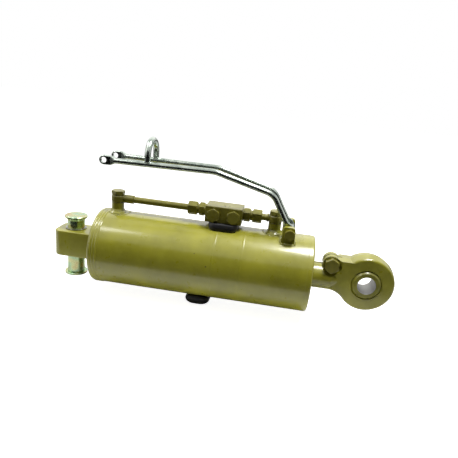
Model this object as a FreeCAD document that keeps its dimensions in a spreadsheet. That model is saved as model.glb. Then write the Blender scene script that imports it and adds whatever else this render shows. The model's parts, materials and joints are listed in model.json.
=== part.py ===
import FreeCAD, Part
import math
import os
import re
import Sketcher

# Hydraulic tractor top link, millimetres.  The link lies along +X: the knuckle pin stands at
# the origin, the ball eye is at the far end, and the pipework is on top (+Z).

os.makedirs("parts", exist_ok=True)
doc = FreeCAD.newDocument("top_link")
dims = doc.addObject("Spreadsheet::Sheet", "dims")

# ---------------------------------------------------------------- driving dimensions
SIZES = [
    # clearances
    ("run_gap", 0.05, "radial clearance of a shaft that turns or slides in its hole"),
    ("seat_gap", 0.3, "space between pieces of different bodies"),
    ("seal_gap", 0.2, "space between a soft seal and the rod or bore it wipes"),
    # barrel
    ("barrel_start", 50.4, "knuckle pin axis to the barrel's rear face"),
    ("barrel_length", 401.9, "rear face to gland face"),
    ("barrel_radius", 70, "outside of the tube"),
    ("barrel_wall", 10, "tube wall"),
    ("cap_rim", 18.6, "full-diameter part of the rear cap, under the weld"),
    ("cap_spigot", 6, "part of the rear cap inside the tube"),
    ("rim_round", 3.5, "rounding of the barrel's two end edges"),
    ("bead_count", 3, "weld passes that join cap and tube"),
    ("bead_rise", 0.9, "height of a weld pass above the tube"),
    # knuckle
    ("pin_radius", 16, "knuckle pin"),
    ("pin_head_radius", 21, "knuckle pin head"),
    ("pin_head_rim", 3.5, "cylindrical rim of the head"),
    ("pin_head_cone", 5, "tapered underside of the head"),
    ("pin_top", 51, "top of the head above the link axis"),
    ("pin_foot", 62, "foot of the pin below the link axis"),
    ("pin_washer_thick", 4, "end washer"),
    ("pin_screw_radius", 5, "M10 screw in the pin's foot"),
    ("pin_screw_length", 28, "M10 screw"),
    ("ring_thick", 1.8, "retaining rings"),
    ("ring_groove_depth", 1.2, "ring groove in the pin"),
    ("ring_stand", 3.2, "height of a ring above the pin surface"),
    ("bush_wall", 3, "bush in the knuckle block"),
    ("block_nose", 33.5, "pin axis to the end of the block"),
    ("block_half_width", 27.5, "knuckle block, across"),
    ("block_half_height", 25, "knuckle block, up and down"),
    ("block_corner", 14, "rounding of the two nose corners, seen from above"),
    ("block_edge", 2.5, "rounding of the block's top and bottom edges"),
    ("block_weld", 4, "leg of the weld between block and rear cap"),
    # gland, seals
    ("gland_flange", 10, "gland flange, flush with the tube"),
    ("gland_inner", 54.3, "gland body inside the tube"),
    ("gland_nose", 26, "stop nose of the gland"),
    ("gland_nose_radius", 45, "stop nose of the gland"),
    ("gland_groove_depth", 5.5, "seal grooves round the rod"),
    ("spanner_hole_radius", 4, "holes for the pin spanner"),
    ("spanner_hole_circle", 45, "radius of their circle"),
    ("spanner_hole_depth", 6, "their depth"),
    # rod and piston
    ("rod_radius", 22.5, "piston rod"),
    ("piston_length", 40, "piston"),
    ("piston_play", 0.4, "piston below its guide rings"),
    ("piston_spigot_radius", 17, "rod inside the piston"),
    ("piston_nut_length", 16, "lock nut"),
    ("piston_nut_flats", 46, "lock nut, across flats"),
    ("piston_thread_radius", 15, "M30 thread"),
    # ports and pipes
    ("rear_port_x", 82.3, "rear port axis from the knuckle pin"),
    ("front_port_x", 376.5, "front port axis from the knuckle pin"),
    ("pipe_rise", 25.5, "pipe axis above the tube"),
    ("boss_radius", 11.5, "welded port boss"),
    ("boss_weld", 8.5, "spread of the boss weld on the tube"),
    ("banjo_ring_radius", 12.2, "banjo eye"),
    ("banjo_half_height", 6.7, "banjo eye, half its height"),
    ("banjo_bolt_radius", 8.25, "G3/8 banjo bolt"),
    ("banjo_head_flats", 22, "banjo bolt head, across flats"),
    ("banjo_head_height", 6.5, "banjo bolt head"),
    ("sealing_washer_thick", 1.5, "bonded washers"),
    ("sealing_washer_radius", 11.6, "bonded washers"),
    ("pipe_radius", 6, "12 mm steel pipe"),
    ("pipe_wall", 1.5, "steel pipe"),
    ("pipe_inset", 1, "banjo rim to the pipe's end inside the collar"),
    ("rear_collar", 17, "brazed collar of the rear banjo"),
    ("front_collar", 3, "brazed collar of the front banjo"),
    ("collar_wall", 1.8, "brazed collar round the pipe"),
    ("fitting_flats", 22, "pipe nuts and connectors, across flats"),
    ("nut_length", 17, "pipe nut"),
    ("end_washer", 1.5, "bonded washer between connector and valve block"),
    ("rear_shoulder", 2.5, "round shoulder of the rear connector"),
    ("connector_hex", 12, "connector from washer to thread, shoulder included"),
    ("connector_neck", 4, "thread that shows between nut and hexagon"),
    ("connector_grip", 8, "thread inside the nut"),
    ("connector_thread_radius", 9, "M18 thread under the nut"),
    ("connector_spigot", 6, "thread in the valve block"),
    ("connector_bore", 4.5, "way for the oil, pipes and fittings"),
    ("pipe_in_connector", 8.5, "valve face to the pipe's end inside the connector"),
    ("ring_length", 5, "cutting ring inside the nut"),
    ("ring_wall", 1.8, "cutting ring"),
    ("port_radius", 8.3, "G3/8 ports of the valve block"),
    # valve block
    ("valve_start", 251, "rear end face from the knuckle pin"),
    ("valve_length", 66.5, "valve block"),
    ("valve_half_depth", 20.3, "valve block, half its depth"),
    ("valve_rise", 8.7, "underside of the valve block above the tube"),
    ("valve_tall", 29.7, "valve block, top to bottom"),
    ("valve_edge", 1, "chamfer of the block's long edges"),
    ("side_port_inset", 15, "hose port axis from each end face"),
    ("side_port_rise", 13.8, "hose port axes above the block's underside"),
    ("hose_port_depth", 10, "threaded part of each hose port"),
    ("plug_head_length", 6, "hexagon of a port plug"),
    ("plug_head_flats", 22, "hexagon of a port plug, across flats"),
    ("plug_thread_length", 6, "threaded part of a port plug"),
    ("drilling_radius", 2.5, "drilling from a side port to the pilot bore"),
    ("drilling_offset", 6, "drilling inboard of its port axis"),
    ("pilot_bore_radius", 7, "bore of the pilot piston"),
    ("pilot_bore_half", 15.25, "half the length of the pilot bore"),
    ("seat_land", 2, "length of a valve seat"),
    ("seat_radius", 4, "hole of a valve seat"),
    ("chamber_radius", 7.5, "bore of a poppet"),
    ("poppet_length", 5, "guided part of a poppet"),
    ("poppet_nose", 1.8, "cone of a poppet, inside its seat"),
    ("poppet_tip_radius", 2.4, "flat tip of a poppet"),
    ("pilot_travel", 2.5, "travel of pilot piston and poppets"),
    ("pilot_piston_half", 4, "half the length of the pilot piston"),
    ("pilot_stem_radius", 2, "stems of the pilot piston"),
    ("spring_wire_radius", 0.45, "poppet spring"),
    ("spring_coil_radius", 4.4, "poppet spring, middle of the wire"),
    ("spring_turns", 3, "poppet spring"),
    ("spring_room_radius", 5.4, "room for the spring in the connector"),
    ("top_plug_radius", 2.5, "small plug in the valve block's top"),
    # rubber pieces
    ("pad_start", 271, "rubber pad under the valve block"),
    ("pad_length", 41, "main part of the pad"),
    ("pad_tab", 13, "narrow tab of the pad"),
    ("pad_half_width", 28, "main part, at the tube"),
    ("pad_shoulder", 4, "how much narrower the pad is at its top"),
    ("tab_half_width", 22, "narrow tab"),
    ("buffer_start", 226.5, "rubber buffer under the barrel"),
    ("buffer_length", 46, "rubber buffer, along the barrel"),
    ("buffer_half_width", 33, "rubber buffer, across"),
    ("buffer_drop", 13.5, "rubber buffer below the tube"),
    ("buffer_round", 11, "rounding of the buffer's ends"),
    # handle
    ("pivot_x", 405.2, "handle pivot from the knuckle pin"),
    ("pivot_rise", 9.3, "handle pivot above the tube"),
    ("pivot_bolt_radius", 5, "M10 pivot bolt"),
    ("lug_inner", 24, "inner face of a handle lug from the middle"),
    ("lug_thick", 10, "handle lugs"),
    ("lug_front", 8.5, "lug in front of the pivot"),
    ("lug_rear", 13, "lug behind the pivot"),
    ("lug_crown", 12.5, "lug above the pivot"),
    ("lug_lean", 1.2, "how much wider the lug is at its foot, each side"),
    ("lug_corner", 7, "rounding of the lug's two upper corners"),
    ("bolt_head_flats", 17, "pivot bolt"),
    ("bolt_head_height", 6.4, "pivot bolt"),
    ("bolt_washer_thick", 2.2, "washers between handle and lugs"),
    ("bolt_washer_radius", 9.5, "washers between handle and lugs"),
    ("spacer_wall", 3, "spacer tube on the pivot bolt"),
    ("handle_bar_radius", 5, "round bar of the handle"),
    ("handle_rise", 100.5, "bend of the handle above the tube"),
    ("end_drop", 1.2, "how much lower the free ends are than the bend"),
    ("handle_bend_x", 263, "bend at the end of the level part"),
    ("handle_knee_x", 368, "knee above the front port"),
    ("knee_rise", 72.5, "knee of the handle above the tube"),
    ("handle_end_x", 65, "hole at the free end"),
    ("handle_end_spread", 28.7, "free end from the middle"),
    ("bend_round", 40, "bar centre line at the bend"),
    ("knee_round", 30, "bar centre line at the knee"),
    ("paddle_thick", 6, "flattened bar end"),
    ("paddle_half_width", 8.5, "flattened bar end"),
    ("paddle_corner", 2, "rounding of the flattened end's rim"),
    ("end_paddle", 12, "flat part in front of the free end's hole"),
    ("pivot_paddle", 10, "flat part above the pivot hole"),
    ("paddle_neck", 8, "length over which the bar is flattened"),
    ("end_hole_radius", 5.25, "hole in the free end"),
    ("loop_x", 143, "rope loop from the knuckle pin"),
    ("loop_bar_radius", 5.5, "round bar of the rope loop"),
    ("loop_rise", 39, "middle of the loop's arch above the handle bars"),
    # rod eye and ball
    ("eye_gap", 2.7, "gland face to the rod eye"),
    ("eye_reach", 100, "gland face to the ball centre"),
    ("eye_radius", 51.8, "rim of the eye at its middle plane"),
    ("eye_draft", 3, "how much smaller the rim is at the eye's faces"),
    ("neck_top", 40, "forging between clamp ear and eye, above the link axis"),
    ("eye_half_thick", 19.8, "eye, half its thickness"),
    ("eye_edge", 3, "rounding of the eye's rim"),
    ("shank_radius", 24, "threaded shank of the eye"),
    ("neck_round", 40, "hollow between shank and eye"),
    ("eye_thread_radius", 18, "M36 thread of the rod in the eye"),
    ("eye_thread_length", 48, "M36 thread"),
    ("slit_half_width", 1.5, "clamping slit"),
    ("clamp_x", 34.7, "clamp bolt axis from the gland face"),
    ("clamp_height", 28, "clamp bolt axis above the link axis"),
    ("clamp_ear_radius", 15.5, "clamp ear round its bolt"),
    ("clamp_floor", 12, "seat of the bolt's washer from the middle"),
    ("clamp_washer_thick", 3, "washer of the clamp bolt"),
    ("clamp_washer_radius", 14, "washer of the clamp bolt"),
    ("clamp_pocket_radius", 14.6, "pocket at its floor"),
    ("clamp_pocket_draft", 7.4, "how much the pocket widens outwards"),
    ("clamp_bolt_radius", 8, "M16 clamp bolt"),
    ("clamp_bolt_flats", 24, "M16 head, across flats"),
    ("clamp_head_height", 10, "M16 head"),
    ("ball_radius", 32, "ball"),
    ("ball_half_width", 22.5, "ball, half its width"),
    ("ball_bore_radius", 16.1, "category 3 bore"),
    ("ball_mouth_radius", 27.1, "opening of the socket at the eye's face"),
]
aliases = set()
for row, (alias, value, note) in enumerate(SIZES, start=1):
    dims.set(f"A{row}", alias)
    dims.set(f"B{row}", str(value))
    dims.set(f"C{row}", note)
    dims.setAlias(f"B{row}", alias)
    aliases.add(alias)
doc.recompute()


# Heights above the link axis: each is a sum of cells, so that they follow the tube's size.
LEVELS = {
    "pipe_height": ("barrel_radius", "pipe_rise"),
    "valve_bottom": ("barrel_radius", "valve_rise"),
    "valve_top": ("barrel_radius", "valve_rise", "valve_tall"),
    "side_port_height": ("barrel_radius", "valve_rise", "side_port_rise"),
    "pivot_height": ("barrel_radius", "pivot_rise"),
    "handle_height": ("barrel_radius", "handle_rise"),
    "handle_knee_height": ("barrel_radius", "knee_rise"),
}


def sheet(text):
    """Turn 'barrel_radius - barrel_wall' into an expression on the sheet's cells."""
    def cell(match):
        word = match.group()
        if word in LEVELS:
            return "(" + " + ".join("dims." + term for term in LEVELS[word]) + ")"
        return "dims." + word if word in aliases else word
    return re.sub(r"[A-Za-z_][A-Za-z0-9_]*", cell, str(text))


def read(name):
    """A plain number from the sheet, for the few shapes that Part's functions make."""
    return sum(float(dims.get(alias)) for alias in LEVELS.get(name, (name,)))


# Places that several pieces share, written once as expressions on the sheet.
BORE = "(barrel_radius - barrel_wall)"
CAP_FACE = "(barrel_start + cap_rim + cap_spigot)"
SEAM = "(barrel_start + barrel_length - gland_flange)"
GLAND_FACE = "(barrel_start + barrel_length)"
GLAND_END = f"({SEAM} - gland_inner)"
NOSE_END = f"({GLAND_END} - gland_nose)"
BUSH_OUTSIDE = "(pin_radius + run_gap + bush_wall)"
NUT_START = f"({CAP_FACE} + 0.6)"
PISTON_START = f"({NUT_START} + piston_nut_length)"
PISTON_END = f"({PISTON_START} + piston_length)"
EYE_START = f"({GLAND_FACE} + eye_gap)"
EYE_X = f"({GLAND_FACE} + eye_reach)"
CLAMP_X = f"({GLAND_FACE} + clamp_x)"
BANJO_TOP = "(pipe_height + banjo_half_height)"
BANJO_FOOT = "(pipe_height - banjo_half_height)"
BOSS_TOP = f"({BANJO_FOOT} - sealing_washer_thick)"
VALVE_END = "(valve_start + valve_length)"
VALVE_MIDDLE = "(valve_start + valve_length / 2)"
REAR_SIDE_PORT = "(valve_start + side_port_inset)"
FRONT_SIDE_PORT = f"({VALVE_END} - side_port_inset)"
SOCKET = "(pipe_radius + run_gap)"
LUG_OUTER = "(lug_inner + lug_thick)"
PADDLE_OUTER = "(lug_inner - seat_gap - bolt_washer_thick)"


# ---------------------------------------------------------------- building helpers
def origin_plane(body, role):
    for feature in body.Origin.OriginFeatures:
        if feature.Role == role:
            return feature
    raise ValueError(role)


def outline(body, name, plane, corners):
    """A closed sketch of straight lines whose corners are bound to the sheet."""
    sketch = body.newObject("Sketcher::SketchObject", name)
    sketch.AttachmentSupport = [(origin_plane(body, plane), "")]
    sketch.MapMode = "FlatFace"
    count = len(corners)
    start = [FreeCAD.Vector(10 * math.cos(2 * math.pi * i / count + 0.3),
                            10 * math.sin(2 * math.pi * i / count + 0.3), 0) for i in range(count)]
    for i in range(count):
        sketch.addGeometry(Part.LineSegment(start[i], start[(i + 1) % count]), False)
    for i in range(count):
        sketch.addConstraint(Sketcher.Constraint("Coincident", i, 2, (i + 1) % count, 1))
    for i, (across, up) in enumerate(corners):
        index = sketch.addConstraint(Sketcher.Constraint("DistanceX", -1, 1, i, 1, start[i].x))
        sketch.setExpression(f"Constraints[{index}]", sheet(across))
        index = sketch.addConstraint(Sketcher.Constraint("DistanceY", -1, 1, i, 1, start[i].y))
        sketch.setExpression(f"Constraints[{index}]", sheet(up))
    return sketch


def place(item, at):
    for letter, text in zip("xyz", at):
        item.setExpression(f"Placement.Base.{letter}", sheet(text))


def revolved(name, corners, about="X", at=("0", "0", "0")):
    """Turned piece: corners are (along the axis, radius)."""
    body = doc.addObject("PartDesign::Body", name)
    if about == "X":
        sketch = outline(body, name + "_profile", "XZ_Plane", corners)
        axis = "H_Axis"
    elif about == "Y":
        sketch = outline(body, name + "_profile", "XY_Plane", [(r, y) for y, r in corners])
        axis = "V_Axis"
    else:
        sketch = outline(body, name + "_profile", "XZ_Plane", [(r, z) for z, r in corners])
        axis = "V_Axis"
    turn = body.newObject("PartDesign::Revolution", name + "_turn")
    turn.Profile = sketch
    turn.ReferenceAxis = (sketch, [axis])
    turn.Angle = 360
    place(body, at)
    return body


def ring(name, start, end, inner, outer, about="X", at=("0", "0", "0")):
    """Turned ring between two stations and two radii."""
    corners = [(start, inner), (end, inner), (end, outer), (start, outer)]
    return revolved(name, corners, about, at)


def plate(name, plane, corners, thickness, at=("0", "0", "0")):
    """Outline thickened evenly to both sides of its plane."""
    body = doc.addObject("PartDesign::Body", name)
    sketch = outline(body, name + "_profile", plane, corners)
    pad = body.newObject("PartDesign::Pad", name + "_pad")
    pad.Profile = sketch
    pad.SideType = "Symmetric"
    pad.setExpression("Length", sheet(thickness))
    place(body, at)
    return body


TURNED = {
    "X": FreeCAD.Rotation(FreeCAD.Vector(0, 1, 0), 90),
    "Y": FreeCAD.Rotation(FreeCAD.Vector(1, 0, 0), -90),
    "Z": FreeCAD.Rotation(),
}


def bar(name, radius, length, along, at):
    """Plain cylinder that starts at a point and runs along +X, +Y or +Z."""
    item = doc.addObject("Part::Cylinder", name)
    item.setExpression("Radius", sheet(radius))
    item.setExpression("Height", sheet(length))
    item.Placement = FreeCAD.Placement(FreeCAD.Vector(), TURNED[along])
    place(item, at)
    return item


def hexagon(name, flats, length, along, at, corner_up=True):
    """Hexagonal prism that starts at a point and runs along +X, +Y or +Z."""
    item = doc.addObject("Part::Prism", name)
    item.Polygon = 6
    item.setExpression("Circumradius", sheet(f"({flats}) / sqrt(3)"))
    item.setExpression("Height", sheet(length))
    twist = 0 if along == "X" or not corner_up else 30
    spin = FreeCAD.Rotation(FreeCAD.Vector(0, 0, 1), twist)
    item.Placement = FreeCAD.Placement(FreeCAD.Vector(), TURNED[along].multiply(spin))
    place(item, at)
    return item


def cut(name, base, *tools):
    result = doc.addObject("Part::Cut", name)
    result.Base = base
    result.Tool = tools[0] if len(tools) == 1 else fused(name + "_tools", *tools)
    return result


def fused(name, *pieces):
    result = doc.addObject("Part::MultiFuse", name)
    result.Shapes = list(pieces)
    result.Refine = True
    return result


def common(name, *pieces):
    result = doc.addObject("Part::MultiCommon", name)
    result.Shapes = list(pieces)
    return result


def group(name, *pieces):
    """Identical separate solids that share one node."""
    result = doc.addObject("Part::Compound", name)
    result.Links = list(pieces)
    return result


def feature(name, shape):
    """A piece whose shape Part's own functions make from the sheet's numbers."""
    item = doc.addObject("Part::Feature", name)
    item.Shape = shape
    return item


def round_edges(name, base, radius, keep):
    """Fillet the edges of a finished solid that a test picks out."""
    doc.recompute()
    item = doc.addObject("Part::Fillet", name)
    item.Base = base
    edges = [i for i, edge in enumerate(base.Shape.Edges, start=1) if keep(edge)]
    item.Edges = [(i, radius, radius) for i in edges]
    return item


kept = []


def keep(item, node):
    """Name a finished sub-part; the name is its file and its node."""
    item.Label = node
    kept.append(item)
    return item


def bevelled_hexagon(name, flats, length, along, at):
    """Hexagon whose corners are turned off at both ends, like a nut or bolt head."""
    prism = hexagon(name + "_prism", flats, length, along, at)
    crown = f"({flats}) * 0.485"
    corner = f"({flats}) / sqrt(3) + 0.01"
    slope = f"(({flats}) * (1 / sqrt(3) - 0.485) * 0.5)"
    turned = [("0", "0"), (length, "0"), (length, crown), (f"{length} - {slope}", corner),
              (slope, corner), ("0", crown)]
    limit = revolved(name + "_crown", turned, along, at)
    return common(name, prism, limit)


# ---------------------------------------------------------------- barrel
port_holes = [bar("rear_port_hole", "port_radius - 2", "barrel_radius + 10", "Z", ("rear_port_x", "0", "0")),
              bar("front_port_hole", "port_radius - 2", "barrel_radius + 10", "Z", ("front_port_x", "0", "0"))]
tube = ring("barrel_pipe", "barrel_start + cap_rim", SEAM, BORE, "barrel_radius")
keep(cut("barrel_tube_drilled", tube, *port_holes), "barrel_tube")

cap_blank = revolved("cap_blank", [
    ("barrel_start", "0"), ("barrel_start", "barrel_radius"),
    ("barrel_start + cap_rim", "barrel_radius"), ("barrel_start + cap_rim", f"{BORE} - run_gap"),
    (CAP_FACE, f"{BORE} - run_gap"), (CAP_FACE, "0")])


def outer_edge_at(station, radius):
    def test(edge):
        box = edge.BoundBox
        return abs(box.XMin - station) < 0.01 and abs(box.XMax - station) < 0.01 and \
            abs(box.ZLength - 2 * radius) < 0.02
    return test


cap_rounded = round_edges("cap_rounded", cap_blank, read("rim_round"),
                          outer_edge_at(read("barrel_start"), read("barrel_radius")))
beads = []
for number in range(int(read("bead_count"))):
    bead = doc.addObject("Part::Torus", f"weld_pass_{number + 1}")
    bead_width = "((cap_rim - rim_round) / bead_count)"
    bead_radius = f"(({bead_width} / 2) ^ 2 + bead_rise ^ 2) / (2 * bead_rise)"
    bead.setExpression("Radius2", sheet(bead_radius))
    bead.setExpression("Radius1", sheet(f"barrel_radius + bead_rise - {bead_radius}"))
    bead.Placement = FreeCAD.Placement(FreeCAD.Vector(), TURNED["X"])
    place(bead, (f"barrel_start + rim_round + {bead_width} * {number + 0.5}", "0", "0"))
    beads.append(bead)
bead_zone = ring("bead_zone", "barrel_start + rim_round", "barrel_start + cap_rim",
                 "barrel_radius - 2", "barrel_radius + 5")
weld_metal = common("weld_metal", fused("weld_passes", *beads), bead_zone)
keep(fused("cap_with_weld", cap_rounded, weld_metal), "rear_cap")

# ---------------------------------------------------------------- knuckle
block = doc.addObject("Part::Box", "block_blank")
block.setExpression("Length", sheet("block_nose + barrel_start"))
block.setExpression("Width", sheet("2 * block_half_width"))
block.setExpression("Height", sheet("2 * block_half_height"))
place(block, ("-block_nose", "-block_half_width", "-block_half_height"))


def nose_corner(edge):
    box = edge.BoundBox
    return box.ZLength > 10 and box.XMax < -read("block_nose") + 0.01


def block_rim(edge):
    box = edge.BoundBox
    return box.ZLength < 0.01 and box.XMin < read("barrel_start") - 1


block_plan = round_edges("block_plan", block, read("block_corner"), nose_corner)
block_rounded = round_edges("block_rounded", block_plan, read("block_edge"), block_rim)
weld = doc.addObject("Part::Wedge", "block_weld_foot")
weld.Ymin = 0
weld.setExpression("Ymax", sheet("block_weld"))
for side, reach in (("X", "block_half_width"), ("Z", "block_half_height")):
    weld.setExpression(side + "min", sheet(f"-{reach}"))
    weld.setExpression(side + "max", sheet(reach))
    weld.setExpression(side + "2min", sheet(f"-{reach} - block_weld"))
    weld.setExpression(side + "2max", sheet(f"{reach} + block_weld"))
weld.Placement = FreeCAD.Placement(FreeCAD.Vector(), FreeCAD.Rotation(FreeCAD.Vector(0, 0, 1), -90))
place(weld, ("barrel_start - block_weld", "0", "0"))
block_bore = bar("block_bore", BUSH_OUTSIDE, "2 * block_half_height + 2", "Z",
                 ("0", "0", "-block_half_height - 1"))
keep(cut("knuckle_block_bored", fused("block_welded", block_rounded, weld), block_bore),
     "knuckle_block")

keep(revolved("bush", [
    ("-block_half_height", "pin_radius + run_gap + 1"), ("-block_half_height", BUSH_OUTSIDE),
    ("block_half_height", BUSH_OUTSIDE), ("block_half_height", "pin_radius + run_gap + 1"),
    ("block_half_height - 1", "pin_radius + run_gap"),
    ("-block_half_height + 1", "pin_radius + run_gap")], "Z"), "knuckle_bush")

RING_NEAR = "(block_half_height + seat_gap)"
RING_FAR = f"({RING_NEAR} + ring_thick)"
GROOVE = "(pin_radius - ring_groove_depth)"
HEAD_UNDER = "(pin_top - pin_head_rim - pin_head_cone)"
pin_blank = revolved("pin_blank", [
    ("-pin_foot", "0"), ("-pin_foot", "pin_radius"),
    (f"-{RING_FAR}", "pin_radius"), (f"-{RING_FAR}", GROOVE),
    (f"-{RING_NEAR}", GROOVE), (f"-{RING_NEAR}", "pin_radius"),
    (RING_NEAR, "pin_radius"), (RING_NEAR, GROOVE), (RING_FAR, GROOVE), (RING_FAR, "pin_radius"),
    (HEAD_UNDER, "pin_radius"), ("pin_top - pin_head_rim", "pin_head_radius"),
    ("pin_top - 0.8", "pin_head_radius"), ("pin_top", "pin_head_radius - 0.8"),
    ("pin_top", "0")], "Z")
pin_tapping = bar("pin_tapping", "pin_screw_radius", "pin_screw_length", "Z", ("0", "0", "-pin_foot"))
keep(cut("pin_tapped", pin_blank, pin_tapping), "knuckle_pin")
SINK = "(pin_screw_radius + pin_washer_thick + 0.5)"
keep(revolved("end_washer_disc", [
    ("-pin_foot - pin_washer_thick", SINK), ("-pin_foot - pin_washer_thick", "pin_head_radius - 0.5"),
    ("-pin_foot - pin_washer_thick + 0.5", "pin_head_radius"), ("-pin_foot - 0.5", "pin_head_radius"),
    ("-pin_foot", "pin_head_radius - 0.5"), ("-pin_foot", "pin_screw_radius")], "Z"), "pin_end_washer")
screw_blank = revolved("screw_blank", [
    ("-pin_foot - pin_washer_thick", "0"), ("-pin_foot - pin_washer_thick", SINK),
    ("-pin_foot", "pin_screw_radius"), ("-pin_foot + pin_screw_length - 4", "pin_screw_radius"),
    ("-pin_foot + pin_screw_length - 2.5", "pin_screw_radius - 1.5"),
    ("-pin_foot + pin_screw_length - 2.5", "0")], "Z")
screw_socket = hexagon("screw_socket", "6", "4.5", "Z", ("0", "0", "-pin_foot - pin_washer_thick - 0.5"))
keep(cut("screw_with_socket", screw_blank, screw_socket), "pin_end_screw")
keep(group("retaining_rings",
           ring("lower_ring", f"-{RING_FAR}", f"-{RING_NEAR}", GROOVE, "pin_radius + ring_stand", "Z"),
           ring("upper_ring", RING_NEAR, RING_FAR, GROOVE, "pin_radius + ring_stand", "Z")),
     "pin_retaining_rings")

# ---------------------------------------------------------------- gland and its seals
ROD_BORE = "(rod_radius + 0.6)"
GROOVE_TOP = "(rod_radius + gland_groove_depth)"
GUIDE_START = f"({NOSE_END} + 6)"
GUIDE_END = f"({GUIDE_START} + 20)"
SEAL_START = f"({SEAM} - 22)"
SEAL_END = f"({SEAL_START} + 11)"
WIPER_START = f"({GLAND_FACE} - 7)"
ORING_START = f"({SEAM} - 14)"
gland_blank = revolved("gland_blank", [
    (NOSE_END, ROD_BORE), (NOSE_END, "gland_nose_radius"), (GLAND_END, "gland_nose_radius"),
    (GLAND_END, f"{BORE} - run_gap"),
    (f"{ORING_START} - 5", f"{BORE} - run_gap"), (f"{ORING_START} - 5", f"{BORE} - 4"),
    (ORING_START, f"{BORE} - 4"), (ORING_START, f"{BORE} - run_gap"),
    (SEAM, f"{BORE} - run_gap"), (SEAM, "barrel_radius"), (GLAND_FACE, "barrel_radius"),
    (GLAND_FACE, GROOVE_TOP), (WIPER_START, GROOVE_TOP), (WIPER_START, ROD_BORE),
    (SEAL_END, ROD_BORE), (SEAL_END, GROOVE_TOP), (SEAL_START, GROOVE_TOP), (SEAL_START, ROD_BORE),
    (GUIDE_END, ROD_BORE), (GUIDE_END, "rod_radius + 3"), (GUIDE_START, "rod_radius + 3"),
    (GUIDE_START, ROD_BORE)])
gland_rounded = round_edges("gland_rounded", gland_blank, read("rim_round"),
                            outer_edge_at(read("barrel_start") + read("barrel_length"),
                                          read("barrel_radius")))
spanner_holes = []
for side, y, z in (("top", "0", "1"), ("bottom", "0", "-1"), ("front", "-1", "0"), ("back", "1", "0")):
    spanner_holes.append(bar(f"spanner_hole_{side}", "spanner_hole_radius", "spanner_hole_depth + 1", "X",
                             (f"{GLAND_FACE} - spanner_hole_depth", f"{y} * spanner_hole_circle",
                              f"{z} * spanner_hole_circle")))
keep(cut("gland_drilled", gland_rounded, *spanner_holes), "gland")

keep(ring("guide_sleeve", GUIDE_START, GUIDE_END, "rod_radius + run_gap", "rod_radius + 3"),
     "gland_guide_ring")
SEAL_LIP = f"({SEAL_START} + 5)"
keep(revolved("u_cup", [
    (SEAL_START, "rod_radius + seal_gap"), (SEAL_START, "rod_radius + 1.4"),
    (SEAL_LIP, "rod_radius + 2.6"), (SEAL_START, "rod_radius + gland_groove_depth - 1.4"),
    (SEAL_START, GROOVE_TOP), (SEAL_END, GROOVE_TOP), (SEAL_END, "rod_radius + 0.8"),
    (f"{SEAL_START} + 3", "rod_radius + 0.8")]), "rod_seal")
keep(revolved("wiper_ring", [
    (WIPER_START, "rod_radius + 1.2"), (WIPER_START, GROOVE_TOP), (GLAND_FACE, GROOVE_TOP),
    (GLAND_FACE, "rod_radius + 3"), (f"{GLAND_FACE} + 1.6", "rod_radius + 1.2"),
    (f"{GLAND_FACE} + 1.6", "rod_radius + seal_gap"), (f"{GLAND_FACE} - 2", "rod_radius + 1.2")]),
     "rod_wiper")
oring = doc.addObject("Part::Torus", "oring_torus")
oring.Radius2 = 2
oring.setExpression("Radius1", sheet(f"{BORE} - 2"))
oring.Placement = FreeCAD.Placement(FreeCAD.Vector(), TURNED["X"])
place(oring, (f"{ORING_START} - 2.5", "0", "0"))
keep(oring, "gland_oring")

# ---------------------------------------------------------------- ports, pipes and unions
barrel_envelope = bar("barrel_envelope", "barrel_radius", "barrel_length", "X", ("barrel_start", "0", "0"))


def port_boss(side, x):
    """Welded boss that sits on the tube and takes the banjo bolt's thread."""
    blank = revolved(f"{side}_boss_blank", [
        ("barrel_radius - 8", "port_radius"), ("barrel_radius - 8", "boss_radius + boss_weld"),
        ("barrel_radius - 3", "boss_radius + boss_weld - 1.5"),
        ("barrel_radius + 0.4", "boss_radius + boss_weld * 0.6"),
        ("barrel_radius + 2.6", "boss_radius + boss_weld * 0.22"),
        ("barrel_radius + 6", "boss_radius"), (BOSS_TOP, "boss_radius"),
        (BOSS_TOP, "port_radius")], "Z", (x, "0", "0"))
    return cut(f"{side}_boss_saddled", blank, barrel_envelope, bead_zone)


keep(port_boss("rear", "rear_port_x"), "rear_port_boss")
keep(port_boss("front", "front_port_x"), "front_port_boss")


def banjo_bolt(side, x):
    shank = bar(f"{side}_bolt_shank", "port_radius", f"{BANJO_TOP} + sealing_washer_thick - {BOSS_TOP} + 9.5",
                "Z", (x, "0", f"{BOSS_TOP} - 9.5"))
    head = bevelled_hexagon(f"{side}_bolt_head", "banjo_head_flats", "banjo_head_height", "Z",
                            (x, "0", f"{BANJO_TOP} + sealing_washer_thick"))
    return fused(f"{side}_bolt_whole", shank, head)


keep(group("banjo_bolt_pair", banjo_bolt("rear", "rear_port_x"), banjo_bolt("front", "front_port_x")),
     "banjo_bolts")
washers = []
for side, x in (("rear", "rear_port_x"), ("front", "front_port_x")):
    washers.append(ring(f"{side}_lower_washer", BOSS_TOP, BANJO_FOOT, "port_radius + run_gap",
                        "sealing_washer_radius", "Z", (x, "0", "0")))
    washers.append(ring(f"{side}_upper_washer", BANJO_TOP, f"{BANJO_TOP} + sealing_washer_thick",
                        "port_radius + run_gap", "sealing_washer_radius", "Z", (x, "0", "0")))
washers.append(ring("rear_end_washer", "valve_start - end_washer", "valve_start", "port_radius + run_gap",
                    "fitting_flats / 2 - 0.6", "X", ("0", "0", "pipe_height")))
washers.append(ring("front_end_washer", VALVE_END, f"{VALVE_END} + end_washer", "port_radius + run_gap",
                    "fitting_flats / 2 - 0.6", "X", ("0", "0", "pipe_height")))
keep(group("bonded_washers", *washers), "sealing_washers")


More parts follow.
